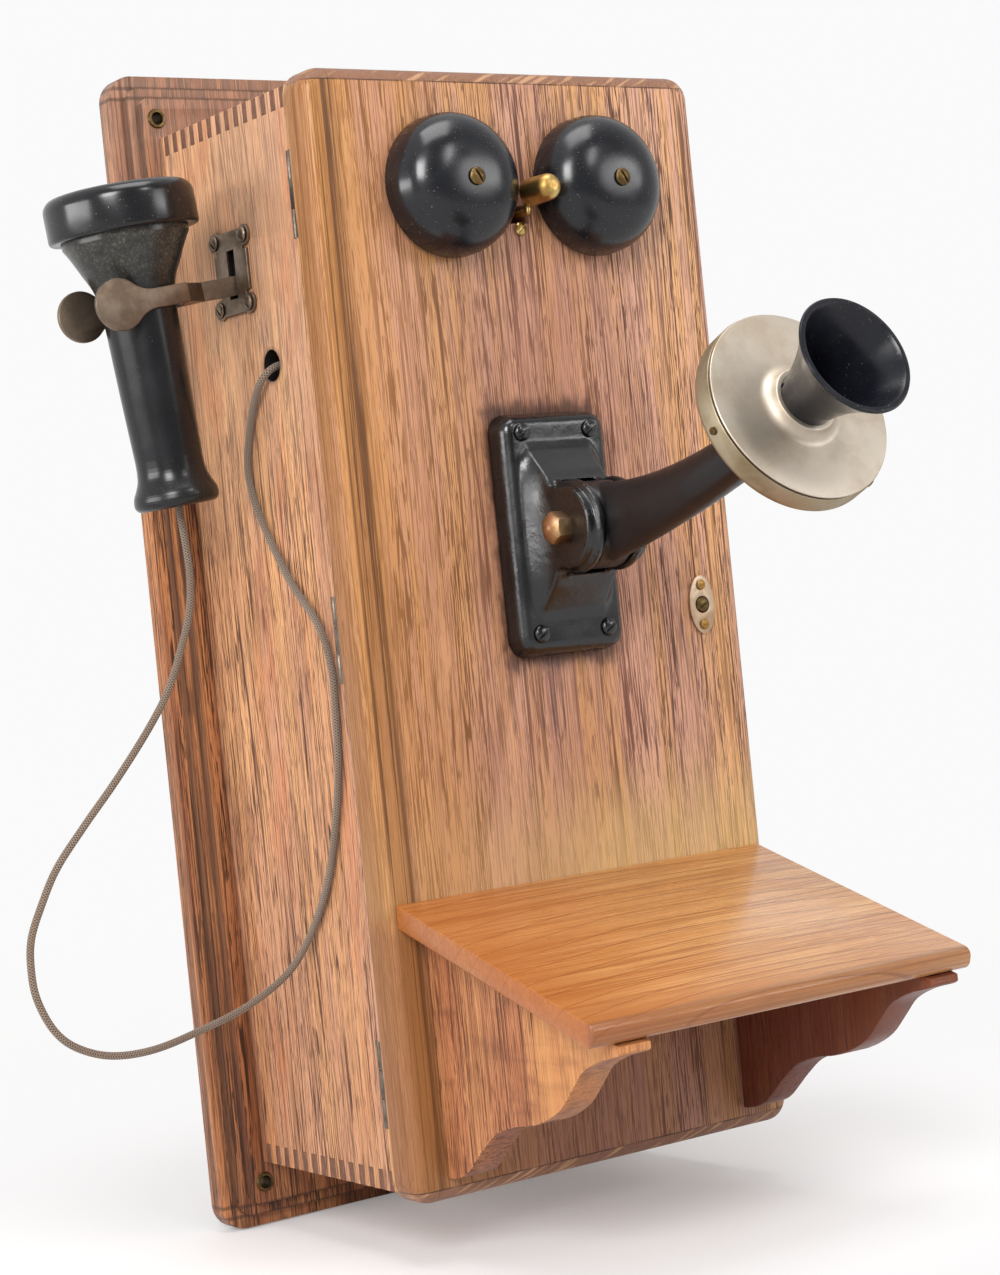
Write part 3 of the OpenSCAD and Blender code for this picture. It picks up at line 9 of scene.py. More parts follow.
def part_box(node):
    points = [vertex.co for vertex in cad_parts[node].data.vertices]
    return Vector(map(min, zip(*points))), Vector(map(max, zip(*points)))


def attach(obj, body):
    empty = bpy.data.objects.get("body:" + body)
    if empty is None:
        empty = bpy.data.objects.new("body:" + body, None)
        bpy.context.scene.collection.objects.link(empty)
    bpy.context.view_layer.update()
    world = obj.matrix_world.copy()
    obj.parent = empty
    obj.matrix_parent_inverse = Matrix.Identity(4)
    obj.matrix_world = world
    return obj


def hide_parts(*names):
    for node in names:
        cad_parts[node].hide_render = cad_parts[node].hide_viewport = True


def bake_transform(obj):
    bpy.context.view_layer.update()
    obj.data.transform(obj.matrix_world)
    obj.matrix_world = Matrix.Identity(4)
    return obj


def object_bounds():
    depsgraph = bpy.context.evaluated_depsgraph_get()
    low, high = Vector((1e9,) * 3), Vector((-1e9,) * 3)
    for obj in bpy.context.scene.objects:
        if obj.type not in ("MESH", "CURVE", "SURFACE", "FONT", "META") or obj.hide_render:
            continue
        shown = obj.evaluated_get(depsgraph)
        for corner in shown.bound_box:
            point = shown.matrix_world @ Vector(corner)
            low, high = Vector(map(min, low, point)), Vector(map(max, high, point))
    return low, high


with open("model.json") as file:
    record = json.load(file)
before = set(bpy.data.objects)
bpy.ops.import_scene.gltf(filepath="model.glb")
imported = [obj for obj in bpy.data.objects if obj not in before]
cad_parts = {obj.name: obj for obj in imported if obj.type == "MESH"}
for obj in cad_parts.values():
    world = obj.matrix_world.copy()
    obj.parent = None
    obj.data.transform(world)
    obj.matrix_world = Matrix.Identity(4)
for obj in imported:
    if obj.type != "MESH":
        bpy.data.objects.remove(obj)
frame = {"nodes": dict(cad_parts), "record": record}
cad_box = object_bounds()

BODY_OF = {node: body for body, nodes in frame["record"]["behaviour"]["bodies"].items() for node in nodes}
SLOT_OF = {part["node"]: part["material_slot"] for part in frame["record"]["subparts"]}
MM = 0.001
PER_METRE = 1 / MM
CORD_HOLE = (-0.0925, -0.103, 0.124)


def srgb(red, green, blue):
    """A colour written as 0 to 255, as the linear colour that a shader takes."""
    linear = [c / 255 / 12.92 if c <= 10 else ((c / 255 + 0.055) / 1.055) ** 2.4 for c in (red, green, blue)]
    return (*linear, 1)


def box_mm(node):
    """The low and the high corner of a CAD node's box, in millimetres."""
    return [Vector(corner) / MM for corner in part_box(node)]


def add_to_scene(item):
    bpy.context.scene.collection.objects.link(item)


# Camera

CAMERA_PLACE = (-0.70172, -1.15103, 0.00916)
CAMERA_RIGHT = (0.82412, -0.55748, -0.10024)
CAMERA_UP = (0.09019, -0.04556, 0.99488)
CAMERA_LOOK = (0.55919, 0.82894, -0.01274)
LENS_MM = 76.548
SENSOR_MM = 36


def make_camera():
    """The photograph's viewpoint, worked out from the straight edges of the door and the backboard."""
    data = bpy.data.cameras.new("camera")
    data.lens = LENS_MM
    data.sensor_width = SENSOR_MM
    data.clip_start = 0.05
    camera = bpy.data.objects.new("camera", data)
    turn = Matrix((Vector(CAMERA_RIGHT), Vector(CAMERA_UP), -Vector(CAMERA_LOOK))).transposed().to_4x4()
    camera.matrix_world = Matrix.Translation(CAMERA_PLACE) @ turn
    add_to_scene(camera)
    bpy.context.scene.camera = camera


make_camera()


# Shader graphs

class Shader:
    """A Principled material and short calls that add nodes to it. Places are in millimetres of the frame."""

    def __init__(self, name, **sockets):
        self.material = bpy.data.materials.new(name)
        self.material.use_nodes = True
        self.tree = self.material.node_tree
        self.bsdf = self.tree.nodes["Principled BSDF"]
        for socket, value in sockets.items():
            self.bsdf.inputs[socket.replace("_", " ")].default_value = value

    def node(self, kind, inputs=(), **settings):
        made = self.tree.nodes.new(kind)
        for name, value in settings.items():
            setattr(made, name, value)
        for socket, value in dict(inputs).items():
            if isinstance(value, bpy.types.NodeSocket):
                self.tree.links.new(value, made.inputs[socket])
            elif value is not None:
                made.inputs[socket].default_value = value
        return made

    def place(self, scale=(1, 1, 1), shift=(0, 0, 0)):
        """Object coordinates in millimetres, each axis then multiplied by its own scale."""
        start = self.node("ShaderNodeTexCoord").outputs["Object"]
        return self.node("ShaderNodeMapping", {"Vector": start, "Scale": [s * PER_METRE for s in scale],
                                               "Location": shift}).outputs["Vector"]

    def stretch(self, vector, scale):
        return self.node("ShaderNodeMapping", {"Vector": vector, "Scale": scale}).outputs["Vector"]

    def split(self, vector):
        return self.node("ShaderNodeSeparateXYZ", {"Vector": vector}).outputs

    def join(self, x, y, z):
        return self.node("ShaderNodeCombineXYZ", {"X": x, "Y": y, "Z": z}).outputs["Vector"]

    def noise(self, vector, detail=3.0, rough=0.5):
        return self.node("ShaderNodeTexNoise", {"Vector": vector, "Scale": 1.0, "Detail": detail,
                                                "Roughness": rough}).outputs["Fac"]

    def cloud(self, scale, detail=3.0, rough=0.5, shift=(0, 0, 0)):
        """Noise with so many steps to a millimetre: one number for all axes, or one for each axis."""
        each = scale if isinstance(scale, (tuple, list)) else (scale, scale, scale)
        return self.noise(self.place(each, shift), detail, rough)

    def math(self, operation, a, b=None, clamp=False):
        made = self.node("ShaderNodeMath", {0: a, 1: b}, operation=operation, use_clamp=clamp)
        return made.outputs["Value"]

    def plus(self, a, b, clamp=False):
        return self.math("ADD", a, b, clamp)

    def minus(self, a, b):
        return self.math("SUBTRACT", a, b)

    def times(self, a, b):
        return self.math("MULTIPLY", a, b)

    def larger(self, a, b):
        return self.math("MAXIMUM", a, b)

    def size(self, a):
        return self.math("ABSOLUTE", a)

    def hypot(self, a, b):
        return self.math("SQRT", self.plus(self.times(a, a), self.times(b, b)))

    def from_middle(self, value, low, high):
        """How far a value lies from the middle between low and high."""
        return self.size(self.minus(value, (low + high) / 2))

    def span(self, value, low, high, to_low=0.0, to_high=1.0):
        """A value spread smoothly from low..high to to_low..to_high, held at the ends."""
        inputs = {"Value": value, "From Min": low, "From Max": high, "To Min": to_low, "To Max": to_high}
        return self.node("ShaderNodeMapRange", inputs, interpolation_type="SMOOTHSTEP").outputs["Result"]

    def rise(self, value, low, high, share=1.0):
        return self.span(value, low, high, 0.0, share)

    def fade(self, value, low, high, share=1.0):
        return self.span(value, low, high, share, 0.0)

    def mix(self, share, a, b):
        """Colour a with the given share of colour b."""
        return self.node("ShaderNodeMix", {0: share, 6: a, 7: b}, data_type="RGBA").outputs[2]

    def bump(self, height, depth_mm, below=None):
        return self.node("ShaderNodeBump", {"Height": height, "Strength": 1.0, "Distance": depth_mm * MM,
                                            "Normal": below}).outputs["Normal"]

    def finish(self, color, roughness=None, normal=None):
        for socket, value in {"Base Color": color, "Roughness": roughness, "Normal": normal}.items():
            if value is not None:
                self.tree.links.new(value, self.bsdf.inputs[socket])
        return self.material


# Wood

def four_tones(*colors):
    """The tones of one wood, from light to dark."""
    return [srgb(*color) for color in colors]


OAK_TONES = four_tones((200, 148, 96), (192, 144, 120), (166, 120, 98), (66, 34, 24))
SIDE_TONES = four_tones((204, 150, 102), (192, 140, 106), (160, 106, 76), (60, 30, 20))
BACK_TONES = four_tones((192, 128, 82), (160, 100, 66), (122, 70, 44), (44, 26, 16))
SHELF_TONES = four_tones((222, 166, 104), (206, 146, 84), (180, 112, 56), (98, 52, 24))
BRACKET_TONES = four_tones((196, 138, 88), (178, 118, 78), (148, 88, 56), (84, 44, 27))
PIECE_TONES = four_tones((200, 142, 88), (186, 126, 76), (160, 100, 58), (112, 64, 36))
PLAIN_TONES = four_tones((206, 170, 124), (196, 156, 110), (176, 134, 92), (128, 92, 62))

GRAIN_SWAY = 8          # sideways wandering of the grain, in millimetres
PORE_DEPTH = 0.09       # in millimetres
PORE_SHARE = 0.92       # how much of the dark tone a pore takes
PORE_ROUGHNESS = 0.2    # added to the roughness in a pore
RING_ALONG, RING_ACROSS, RING_WIDE = 2.2, 1.3, 6     # steps of the year rings on end grain, in millimetres


def wood(name, tones, along="Z", across="X", streak=1.0, gloss=0.42, tint=None, end_share=0.85, coat=0.05,
         pores=1.0):
    """Open-pored wood: wide bands of tone, fine dark pores along the grain, pale flecks and darker end grain.

    The grain runs along one axis, and the year rings lie close together across another. Sizes are in
    millimetres. The roughness lies near the given gloss.
    """
    light, warm, deep, dark = tones
    s = Shader(name, Coat_Weight=coat, Coat_Roughness=0.22, Specular_IOR_Level=0.28)
    axis = "XYZ".index(along)

    def grain(fine, length):
        """Scales for noise that is so fine across the grain and so long along it."""
        return [1 / length if i == axis else 1 / fine for i in range(3)]

    meander = s.cloud(grain(70, 220), detail=1)
    at = s.split(s.place())
    sway = s.times(s.minus(meander, 0.5), GRAIN_SWAY)
    flow = s.join(*[at[i] if i == axis else s.plus(at[i], sway) for i in range(3)])

    def along_flow(fine, length, **words):
        return s.noise(s.stretch(flow, grain(fine, length)), **words)

    wide = along_flow(15, 400, detail=3, rough=0.6)
    band = along_flow(2.8, 260, detail=4, rough=0.6)
    zone = s.cloud(grain(55, 150), detail=2)
    color = s.mix(s.span(wide, 0.4, 0.6), light, warm)
    color = s.mix(s.times(s.span(zone, 0.42, 0.66), 0.5), color, deep)
    color = s.mix(s.times(s.span(band, 0.46, 0.64), 0.4 * streak), color, deep)
    color = s.mix(s.times(s.span(band, 0.6, 0.74), 0.35 * streak), color, dark)
    fleck = along_flow(2.1, 9, detail=2)
    fleck_zone = s.span(s.cloud(grain(28, 60), detail=2, shift=(3, 7, 11)), 0.47, 0.62)
    color = s.mix(s.times(s.times(s.span(fleck, 0.55, 0.7), fleck_zone), 0.6), color, light)

    row = s.span(along_flow(4.5, 330, detail=2), 0.36, 0.56, 0.5, 1.0)
    ridge = along_flow(1.25, 90, detail=0)
    line = s.fade(s.size(s.minus(ridge, 0.5)), 0.03, 0.075)
    dash = s.rise(along_flow(0.5, 10, detail=1), 0.555, 0.625, 0.85)
    pore = s.times(s.times(s.larger(line, dash), row), pores)
    color = s.mix(s.times(pore, PORE_SHARE), color, dark)

    facing = s.split(s.node("ShaderNodeTexCoord").outputs["Normal"])[axis]
    end = s.span(s.size(facing), 0.45, 0.85)
    steps = [RING_ALONG if i == axis else RING_ACROSS if "XYZ"[i] == across else RING_WIDE for i in range(3)]
    rings = s.cloud([1 / step for step in steps])
    end_color = s.mix(s.span(rings, 0.35, 0.65), dark, deep)
    color = s.mix(s.times(end, end_share), color, end_color)
    if tint:
        color = tint(s, color)
    soft = s.span(s.cloud((0.02, 0.02, 0.012), detail=4), 0.3, 0.7, gloss - 0.07, gloss + 0.1)
    rough = s.plus(soft, s.times(pore, PORE_ROUGHNESS), clamp=True)
    return s.finish(color, rough, s.bump(s.minus(s.times(band, 0.35), pore), PORE_DEPTH))


RAGGEDNESS = 1.6        # how far a ragged edge wanders, as a share of its reach


def near_box(s, box_low, box_high, reach):
    """1 at the given X and Z rectangle and 0 farther than reach from it, with a ragged edge. Millimetres."""
    at = s.split(s.place())
    outside = [s.larger(s.minus(s.from_middle(at[i], low, high), (high - low) / 2), 0.0)
               for i, low, high in zip((0, 2), box_low, box_high)]
    away = s.hypot(*outside)
    wander = s.times(s.minus(s.cloud((0.25, 0.25, 0.12), detail=4), 0.5), reach * RAGGEDNESS)
    ragged = s.plus(away, wander)
    return s.fade(ragged, 0, reach)


def in_box(s, at, low, high):
    """1 inside the given Y and Z rectangle, 0 outside it. Millimetres."""
    inside = [s.math("LESS_THAN", s.minus(s.from_middle(at[i], low[i], high[i]), (high[i] - low[i]) / 2), 0)
              for i in (1, 2)]
    return s.times(*inside)


GOLDEN_WOOD, BROWNED_WOOD, BLEACHED_WOOD = srgb(160, 104, 48), srgb(150, 98, 76), srgb(206, 172, 112)
UNDER_SHELF_SHADE, CASTING_STAIN, CASTING_DRIP = srgb(108, 66, 46), srgb(46, 28, 26), srgb(70, 44, 50)
LEFT_EDGE, LEFT_EDGE_STREAK = srgb(140, 92, 44), srgb(74, 42, 20)
RAGGED_MM = 70          # how far the edges of the golden, brown and bleached parts wander
GOLDEN_REACH = 110      # from the door's left edge, in millimetres
BLEACHED_REACH = 60     # above the shelf, in millimetres
DRIP_LENGTH = 30        # below the casting, in millimetres


def door_tint(s, color):
    """The door's age: a streaked golden left edge, a browner middle, a bleached foot and the casting's stain.

    It also gets a painted shadow below the shelf. The back of the door stays bare of it.
    """
    low, high = box_mm("door")
    base_low, base_high = box_mm("transmitter_base")
    shelf_top = box_mm("shelf")[1].z
    at = s.split(s.place())
    bare = color
    ragged = s.times(s.minus(s.cloud((0.12, 0.12, 0.012), detail=4, rough=0.6), 0.5), RAGGED_MM)
    golden = s.fade(s.plus(at[0], ragged), low.x, low.x + GOLDEN_REACH, 0.52)
    color = s.mix(golden, color, GOLDEN_WOOD)
    middle = s.times(s.fade(s.size(s.plus(at[0], ragged)), 6, 70),
                     s.span(at[2], high.z - 40, high.z - 120, 0.12, 0.4))
    color = s.mix(middle, color, BROWNED_WOOD)
    foot = s.fade(s.plus(at[2], s.times(ragged, 0.45)), shelf_top + 2, shelf_top + BLEACHED_REACH, 0.5)
    above = s.times(s.span(at[0], -70, 20, 0.35, 1.0), s.span(at[2], shelf_top - 10, shelf_top - 2))
    color = s.mix(s.times(foot, above), color, BLEACHED_WOOD)
    # painted shadow: the door below the shelf is darker
    color = s.mix(s.fade(at[2], shelf_top - 16, shelf_top - 8, 0.42), color, UNDER_SHELF_SHADE)
    stain = near_box(s, (base_low.x + 3, base_low.z), (base_high.x - 3, base_high.z + 1), 9)
    color = s.mix(s.times(stain, 0.72), color, CASTING_STAIN)
    runs = s.span(s.cloud((0.28, 0.28, 0.008), shift=(2, 0, 4)), 0.52, 0.62)
    below = near_box(s, (base_low.x + 2, base_low.z - DRIP_LENGTH), (base_high.x - 2, base_low.z), 10)
    color = s.mix(s.times(runs, s.times(below, 0.5)), color, CASTING_DRIP)
    streaks = s.span(s.cloud((0.7, 0.7, 0.004), rough=0.6), 0.5, 0.62)
    left = s.times(s.fade(at[0], low.x + 12, low.x + 19),
                   s.span(at[0], low.x + 2, low.x + 5, 0.45, 1.0))
    color = s.mix(s.times(left, 0.6), color, LEFT_EDGE)
    color = s.mix(s.times(s.times(left, streaks), 0.8), color, LEFT_EDGE_STREAK)
    aged = edge_bands(s, color, at, low, high)
    return s.mix(s.fade(at[1], high.y - 3, high.y - 1), bare, aged)


END_BAND, SIDE_BAND = 5.7, 12.6     # the quirks' distances from the door's ends and sides, in millimetres
END_SLANT = -2.2        # sideways steps to each step down, along the pale lines of the end grain
END_GRAIN_DARK, END_GRAIN_PALE = srgb(124, 88, 70), srgb(178, 138, 104)
QUIRK_DARK, ROUNDED_EDGE = srgb(64, 40, 28), srgb(120, 78, 50)


def edge_bands(s, color, at, low, high):
    """The door's worked edge: brown end grain with slanted pale lines at top and foot, and dark quirks."""
    skewed = s.join(s.plus(at[0], s.times(at[2], END_SLANT)), at[1], at[2])
    slant = s.noise(s.stretch(skewed, (0.22, 0.1, 0.04)))
    level, across = [s.minus((high[i] - low[i]) / 2, s.from_middle(at[i], low[i], high[i])) for i in (2, 0)]
    end = s.mix(s.span(slant, 0.52, 0.66), END_GRAIN_DARK, END_GRAIN_PALE)
    color = s.mix(s.fade(level, END_BAND - 0.3, END_BAND + 0.2, 0.85), color, end)
    worn = s.span(s.cloud((0.05, 0.05, 0.03), shift=(6, 1, 2)), 0.35, 0.55, 0.35, 0.9)
    for inset, away, dark in ((END_BAND, level, 1.0), (SIDE_BAND, across, 0.5)):
        quirk = s.fade(s.size(s.minus(away, inset)), 0.1, 0.5, dark)
        # darker lines along the quirks, patchy along their length
        color = s.mix(s.times(quirk, worn), color, QUIRK_DARK)
    return s.mix(s.rise(at[1], low.y + 0.6, low.y + 4.5, 0.3), color, ROUNDED_EDGE)


PAINTED_TOP_LIGHT, SMEAR, REDDISH = srgb(226, 182, 146), srgb(118, 72, 52), srgb(190, 104, 56)
CORNER_DARK, HOLE_RIM_DARK, HOLE_SHADE = srgb(92, 56, 38), srgb(70, 42, 30), srgb(14, 10, 8)
CORD_HOLE_R = 7.0       # in millimetres
SLOT_FROM_LOW, SLOT_FROM_HIGH = Vector((0, 12, 9)), Vector((0, 12, 6))      # from the escutcheon's corners


def side_tint(s, color):
    """Side boards: painted light near the top, dark and reddish smears, and darker against the backboard.

    The left board has painted shade, black, inside the escutcheon's slot and the cord's hole.
    """
    high = box_mm("box_left")[1]
    at = s.split(s.place())
    # painted light: the upper part of the side boards is paler
    color = s.mix(s.rise(at[2], high.z - 220, high.z - 90, 0.3), color, PAINTED_TOP_LIGHT)
    smear = s.span(s.cloud((0.03, 0.05, 0.012), detail=4, rough=0.6, shift=(4, 1, 0)), 0.56, 0.72)
    color = s.mix(s.times(smear, 0.45), color, SMEAR)
    red = s.rise(s.cloud((0.02, 0.035, 0.01), detail=4, rough=0.65, shift=(1, 8, 3)), 0.5, 0.7, 0.3)
    color = s.mix(red, color, REDDISH)
    # darker towards the backboard, in patches
    corner = s.rise(at[1], high.y - 14, high.y - 1, 0.5)
    color = s.mix(s.times(corner, s.span(s.cloud((0.2, 0.2, 0.02)), 0.4, 0.6)), color, CORNER_DARK)
    plate_low, plate_high = box_mm("escutcheon")
    slot = in_box(s, at, plate_low + SLOT_FROM_LOW, plate_high - SLOT_FROM_HIGH)
    hole = Vector(CORD_HOLE) / MM
    away = s.hypot(s.minus(at[1], hole.y), s.minus(at[2], hole.z))
    bore = s.fade(away, CORD_HOLE_R, CORD_HOLE_R + 0.3)
    near = s.fade(away, CORD_HOLE_R, CORD_HOLE_R + 2.5, 0.5)
    left = s.math("LESS_THAN", at[0], 0)
    # a darker ring round the cord's hole, on the left board
    color = s.mix(s.times(near, left), color, HOLE_RIM_DARK)
    # painted shade: black inside the escutcheon's slot and the cord's hole, on the left board only
    return s.mix(s.times(s.larger(slot, bore), left), color, HOLE_SHADE)


BACKBOARD_STEPS = (6.0, 11.3)       # the grooves' distances from the backboard's edges, in millimetres
BOLD_STREAK, BACK_DUST, GROOVE_DARK = srgb(74, 44, 30), srgb(150, 122, 106), srgb(52, 33, 25)


def back_tint(s, color):
    """Bold dark streaks, dust near the top, and darker lines in the grooves of the backboard's steps."""
    low, high = box_mm("backboard")
    at = s.split(s.place())
    bold = s.span(s.cloud((0.16, 0.16, 0.0035), rough=0.6, shift=(1, 0, 3)), 0.5, 0.62)
    color = s.mix(s.times(bold, 0.55), color, BOLD_STREAK)
    uneven = s.plus(at[2], s.times(s.cloud(0.02, detail=4), 120))
    color = s.mix(s.rise(uneven, high.z - 110, high.z + 40, 0.42), color, BACK_DUST)
    for step in BACKBOARD_STEPS:
        for i in (0, 2):
            edge = s.minus(s.from_middle(at[i], low[i], high[i]), (high[i] - low[i]) / 2 - step)
            # darker lines in the grooves of the steps
            color = s.mix(s.fade(s.size(edge), 0.3, 1.4, 0.6), color, GROOVE_DARK)
    return color


FINGER_END_X = 101.2        # just inside the cabinet's outer sides, in millimetres
FINGER_END = srgb(98, 66, 52)


def end_board_tint(s, color):
    """The fingers of the top and bottom boards show end grain at the sides."""
    at = s.split(s.place())
    return s.mix(s.rise(s.size(at[0]), FINGER_END_X, FINGER_END_X + 0.2, 0.75), color, FINGER_END)


SHELF_GRAIN, SHELF_LINE, SHELF_LEFT = srgb(138, 80, 36), srgb(106, 58, 26), srgb(150, 78, 22)
SHELF_FRONT, SHELF_RIM = srgb(150, 86, 44), srgb(96, 60, 40)
ARCH = 0.0016               # how strongly the shelf's lines bow
LINES_PER_MM = 0.42         # radians of the shelf's lines to a millimetre


def shelf_tint(s, color):
    """The shelf's polished top: long curved lines, a redder left end and a worn, darker front edge."""
    low = box_mm("shelf")[0]
    at = s.split(s.place())
    arch = s.plus(s.plus(at[1], at[2]), s.times(s.times(at[0], at[0]), ARCH))
    wave = s.plus(s.times(arch, LINES_PER_MM), s.times(s.cloud((0.006, 0.014, 0.014), detail=1), 8))
    fine = s.cloud((0.005, 0.8, 0.8), rough=0.6, shift=(0, 3, 0))
    color = s.mix(s.rise(fine, 0.5, 0.62, 0.6), color, SHELF_GRAIN)
    color = s.mix(s.rise(s.math("SINE", wave), 0.96, 1.0, 0.6), color, SHELF_LINE)
    uneven = s.plus(at[0], s.times(s.cloud(0.03), 60))
    color = s.mix(s.fade(uneven, -90, 80, 0.72), color, SHELF_LEFT)
    color = s.mix(s.fade(at[1], low.y + 4, low.y + 26, 0.3), color, SHELF_FRONT)
    return s.mix(s.fade(at[1], low.y + 1.5, low.y + 6, 0.5), color, SHELF_RIM)


RIGHT_BRACKET, BRACKET_CLOUD = srgb(92, 36, 24), srgb(84, 44, 28)


def bracket_tint(s, color):
    """The right-hand bracket is a darker, redder board than the left."""
    at = s.split(s.place())
    color = s.mix(s.rise(at[0], -10, 10, 0.85), color, RIGHT_BRACKET)
    return s.mix(s.rise(s.cloud((0.1, 0.02, 0.1)), 0.52, 0.7, 0.3), color, BRACKET_CLOUD)


# Metals, enamel, rubber and cloth

WORN_THROUGH, PIN_BRASS = srgb(106, 84, 60), srgb(168, 130, 74)
PALE_SPECK = srgb(120, 112, 100)
FLARE_DUST, FLARE_GRIT = srgb(92, 90, 80), srgb(132, 128, 112)


def nickel(name, worn=0.5, clean=(202, 191, 176), dull=(182, 168, 150), pins=None):
    """Dull nickel plate, in places worn to the brass.

    Where pins is given, whatever stands in front of that Y is brass.
    """
    s = Shader(name, Metallic=1.0)
    haze = s.cloud(0.05, detail=5, rough=0.6)
    spot = s.span(s.cloud(0.9, detail=4, rough=0.7), 0.66, 0.78)
    color = s.mix(s.span(haze, 0.35, 0.7), srgb(*clean), srgb(*dull))
    color = s.mix(s.times(spot, worn), color, WORN_THROUGH)
    if pins is not None:
        color = s.mix(s.fade(s.split(s.place())[1], pins, pins + 0.3), color, PIN_BRASS)
    rough = s.span(haze, 0.3, 0.7, 0.48, 0.58)
    return s.finish(color, rough, s.bump(s.cloud(1.4), 0.012))


def aged_metal(name, clean, tarnish, dark, rough=(0.32, 0.55), grime=0.5, size=1.0):
    """Metal that has gone dull: clean on top, tarnish in clouds, dark spots in it."""
    s = Shader(name, Metallic=1.0)
    haze = s.cloud(0.16 / size, detail=5, rough=0.62)
    spot = s.span(s.cloud(0.8 / size, detail=4, rough=0.65, shift=(2, 5, 1)), 0.56, 0.74)
    color = s.mix(s.span(haze, 0.36, 0.64), srgb(*clean), srgb(*tarnish))
    color = s.mix(s.times(spot, grime), color, srgb(*dark))
    return s.finish(color, s.span(haze, 0.3, 0.7, *rough), s.bump(s.cloud(1.2 / size, detail=4), 0.02))


def enamel(name, tone, rough=(0.16, 0.3), lump=0.03, lump_size=6.0, dust=0.25, wear=None, shine=0.4,
           orange=0.25, specks=0.7):
    """A smooth dark finish: slightly wavy, with a fine orange peel, specks of dust and duller patches."""
    s = Shader(name, Specular_IOR_Level=shine)
    plain = srgb(*tone)
    paler = [min(1, c * 1.4) for c in plain[:3]] + [1]
    haze = s.cloud(0.06, detail=4, rough=0.55)
    speck = s.span(s.cloud(1.1, detail=2, shift=(9, 4, 2)), specks, specks + 0.06)
    color = s.mix(s.rise(haze, 0.35, 0.7, 0.5), plain, paler)
    color = s.mix(s.times(speck, dust), color, PALE_SPECK)
    if wear:
        color = wear(s, color)
    roughness = s.plus(s.span(haze, 0.3, 0.7, *rough), s.times(speck, 0.3), clamp=True)
    wavy = s.bump(s.cloud(1 / lump_size, detail=2), lump)
    return s.finish(color, roughness, s.bump(s.cloud(1.1), lump * orange, wavy))


def receiver_dust(s, color):
    """Grey dust in the hollow of the flare under the cap, and a little at the tail."""
    tail_z = box_mm("receiver_shell")[0].z
    at = s.split(s.place())
    cap_z = box_mm("receiver_cap")[0].z
    flare = s.span(at[2], cap_z - 36, cap_z + 2)
    tail = s.fade(at[2], tail_z + 2, tail_z + 24, 0.15)
    patchy = s.span(s.cloud((0.12, 0.12, 0.2), detail=6, rough=0.7), 0.3, 0.7, 0.35, 1.0)
    grit = s.span(s.cloud(0.9, detail=4, rough=0.75, shift=(3, 3, 8)), 0.5, 0.66)
    amount = s.times(s.larger(flare, tail), patchy)
    color = s.mix(s.times(amount, 0.3), color, FLARE_DUST)
    return s.mix(s.times(s.times(amount, grit), 0.4), color, FLARE_GRIT)


STRANDS_ROUND = 5           # strands of each direction round the cord
TURNS_PER_DIAMETER = 2.6
STRAND_GAP_SHADE, STRAND_PALE, BRAID_SOILED = srgb(58, 46, 38), srgb(134, 114, 96), srgb(104, 82, 64)


def cloth_braid(name):
    """A braided cotton cover, its strands crossing at a slant. U goes once round, V counts diameters."""
    s = Shader(name, Roughness=0.85, Sheen_Weight=0.25, Sheen_Roughness=0.5)
    uv = s.split(s.node("ShaderNodeTexCoord").outputs["UV"])
    around = s.times(uv[0], 2 * math.pi * STRANDS_ROUND)
    down = s.times(uv[1], 2 * math.pi * TURNS_PER_DIAMETER)
    one = s.math("SINE", s.plus(around, down))
    two = s.math("SINE", s.minus(around, down))
    strands = s.larger(one, two)
    # painted shade: darker between the strands, paler on their crowns
    color = s.mix(s.span(strands, -0.2, 1.0), STRAND_GAP_SHADE, STRAND_PALE)
    color = s.mix(s.rise(s.cloud(0.05), 0.4, 0.7, 0.4), color, BRAID_SOILED)
    return s.finish(color, None, s.bump(strands, 0.16))


WIRE_PITCH = 0.7            # in millimetres
GREENED = srgb(40, 52, 30)


def winding(name, axis, tone=(96, 66, 38)):
    """Covered wire wound side by side along an axis."""
    s = Shader(name, Roughness=0.6)
    at = s.split(s.place())["XYZ".index(axis)]
    turn = s.math("SINE", s.times(at, 2 * math.pi / WIRE_PITCH))
    # painted shade: each turn is darker towards the grooves beside it
    color = s.mix(s.span(turn, -1.0, 1.0), srgb(*[c * 0.45 for c in tone]), srgb(*tone))
    color = s.mix(s.rise(s.cloud(0.2), 0.5, 0.7, 0.5), color, GREENED)
    return s.finish(color, None, s.bump(turn, 0.12))


def plain_iron(name):
    """Bare dark iron, for the pieces inside."""
    s = Shader(name, Metallic=0.85)
    haze = s.cloud(0.12, detail=5, rough=0.6)
    color = s.mix(s.span(haze, 0.35, 0.65), srgb(92, 88, 84), srgb(58, 52, 48))
    return s.finish(color, s.span(haze, 0.3, 0.7, 0.38, 0.6), s.bump(s.cloud(1.5, detail=4), 0.03))


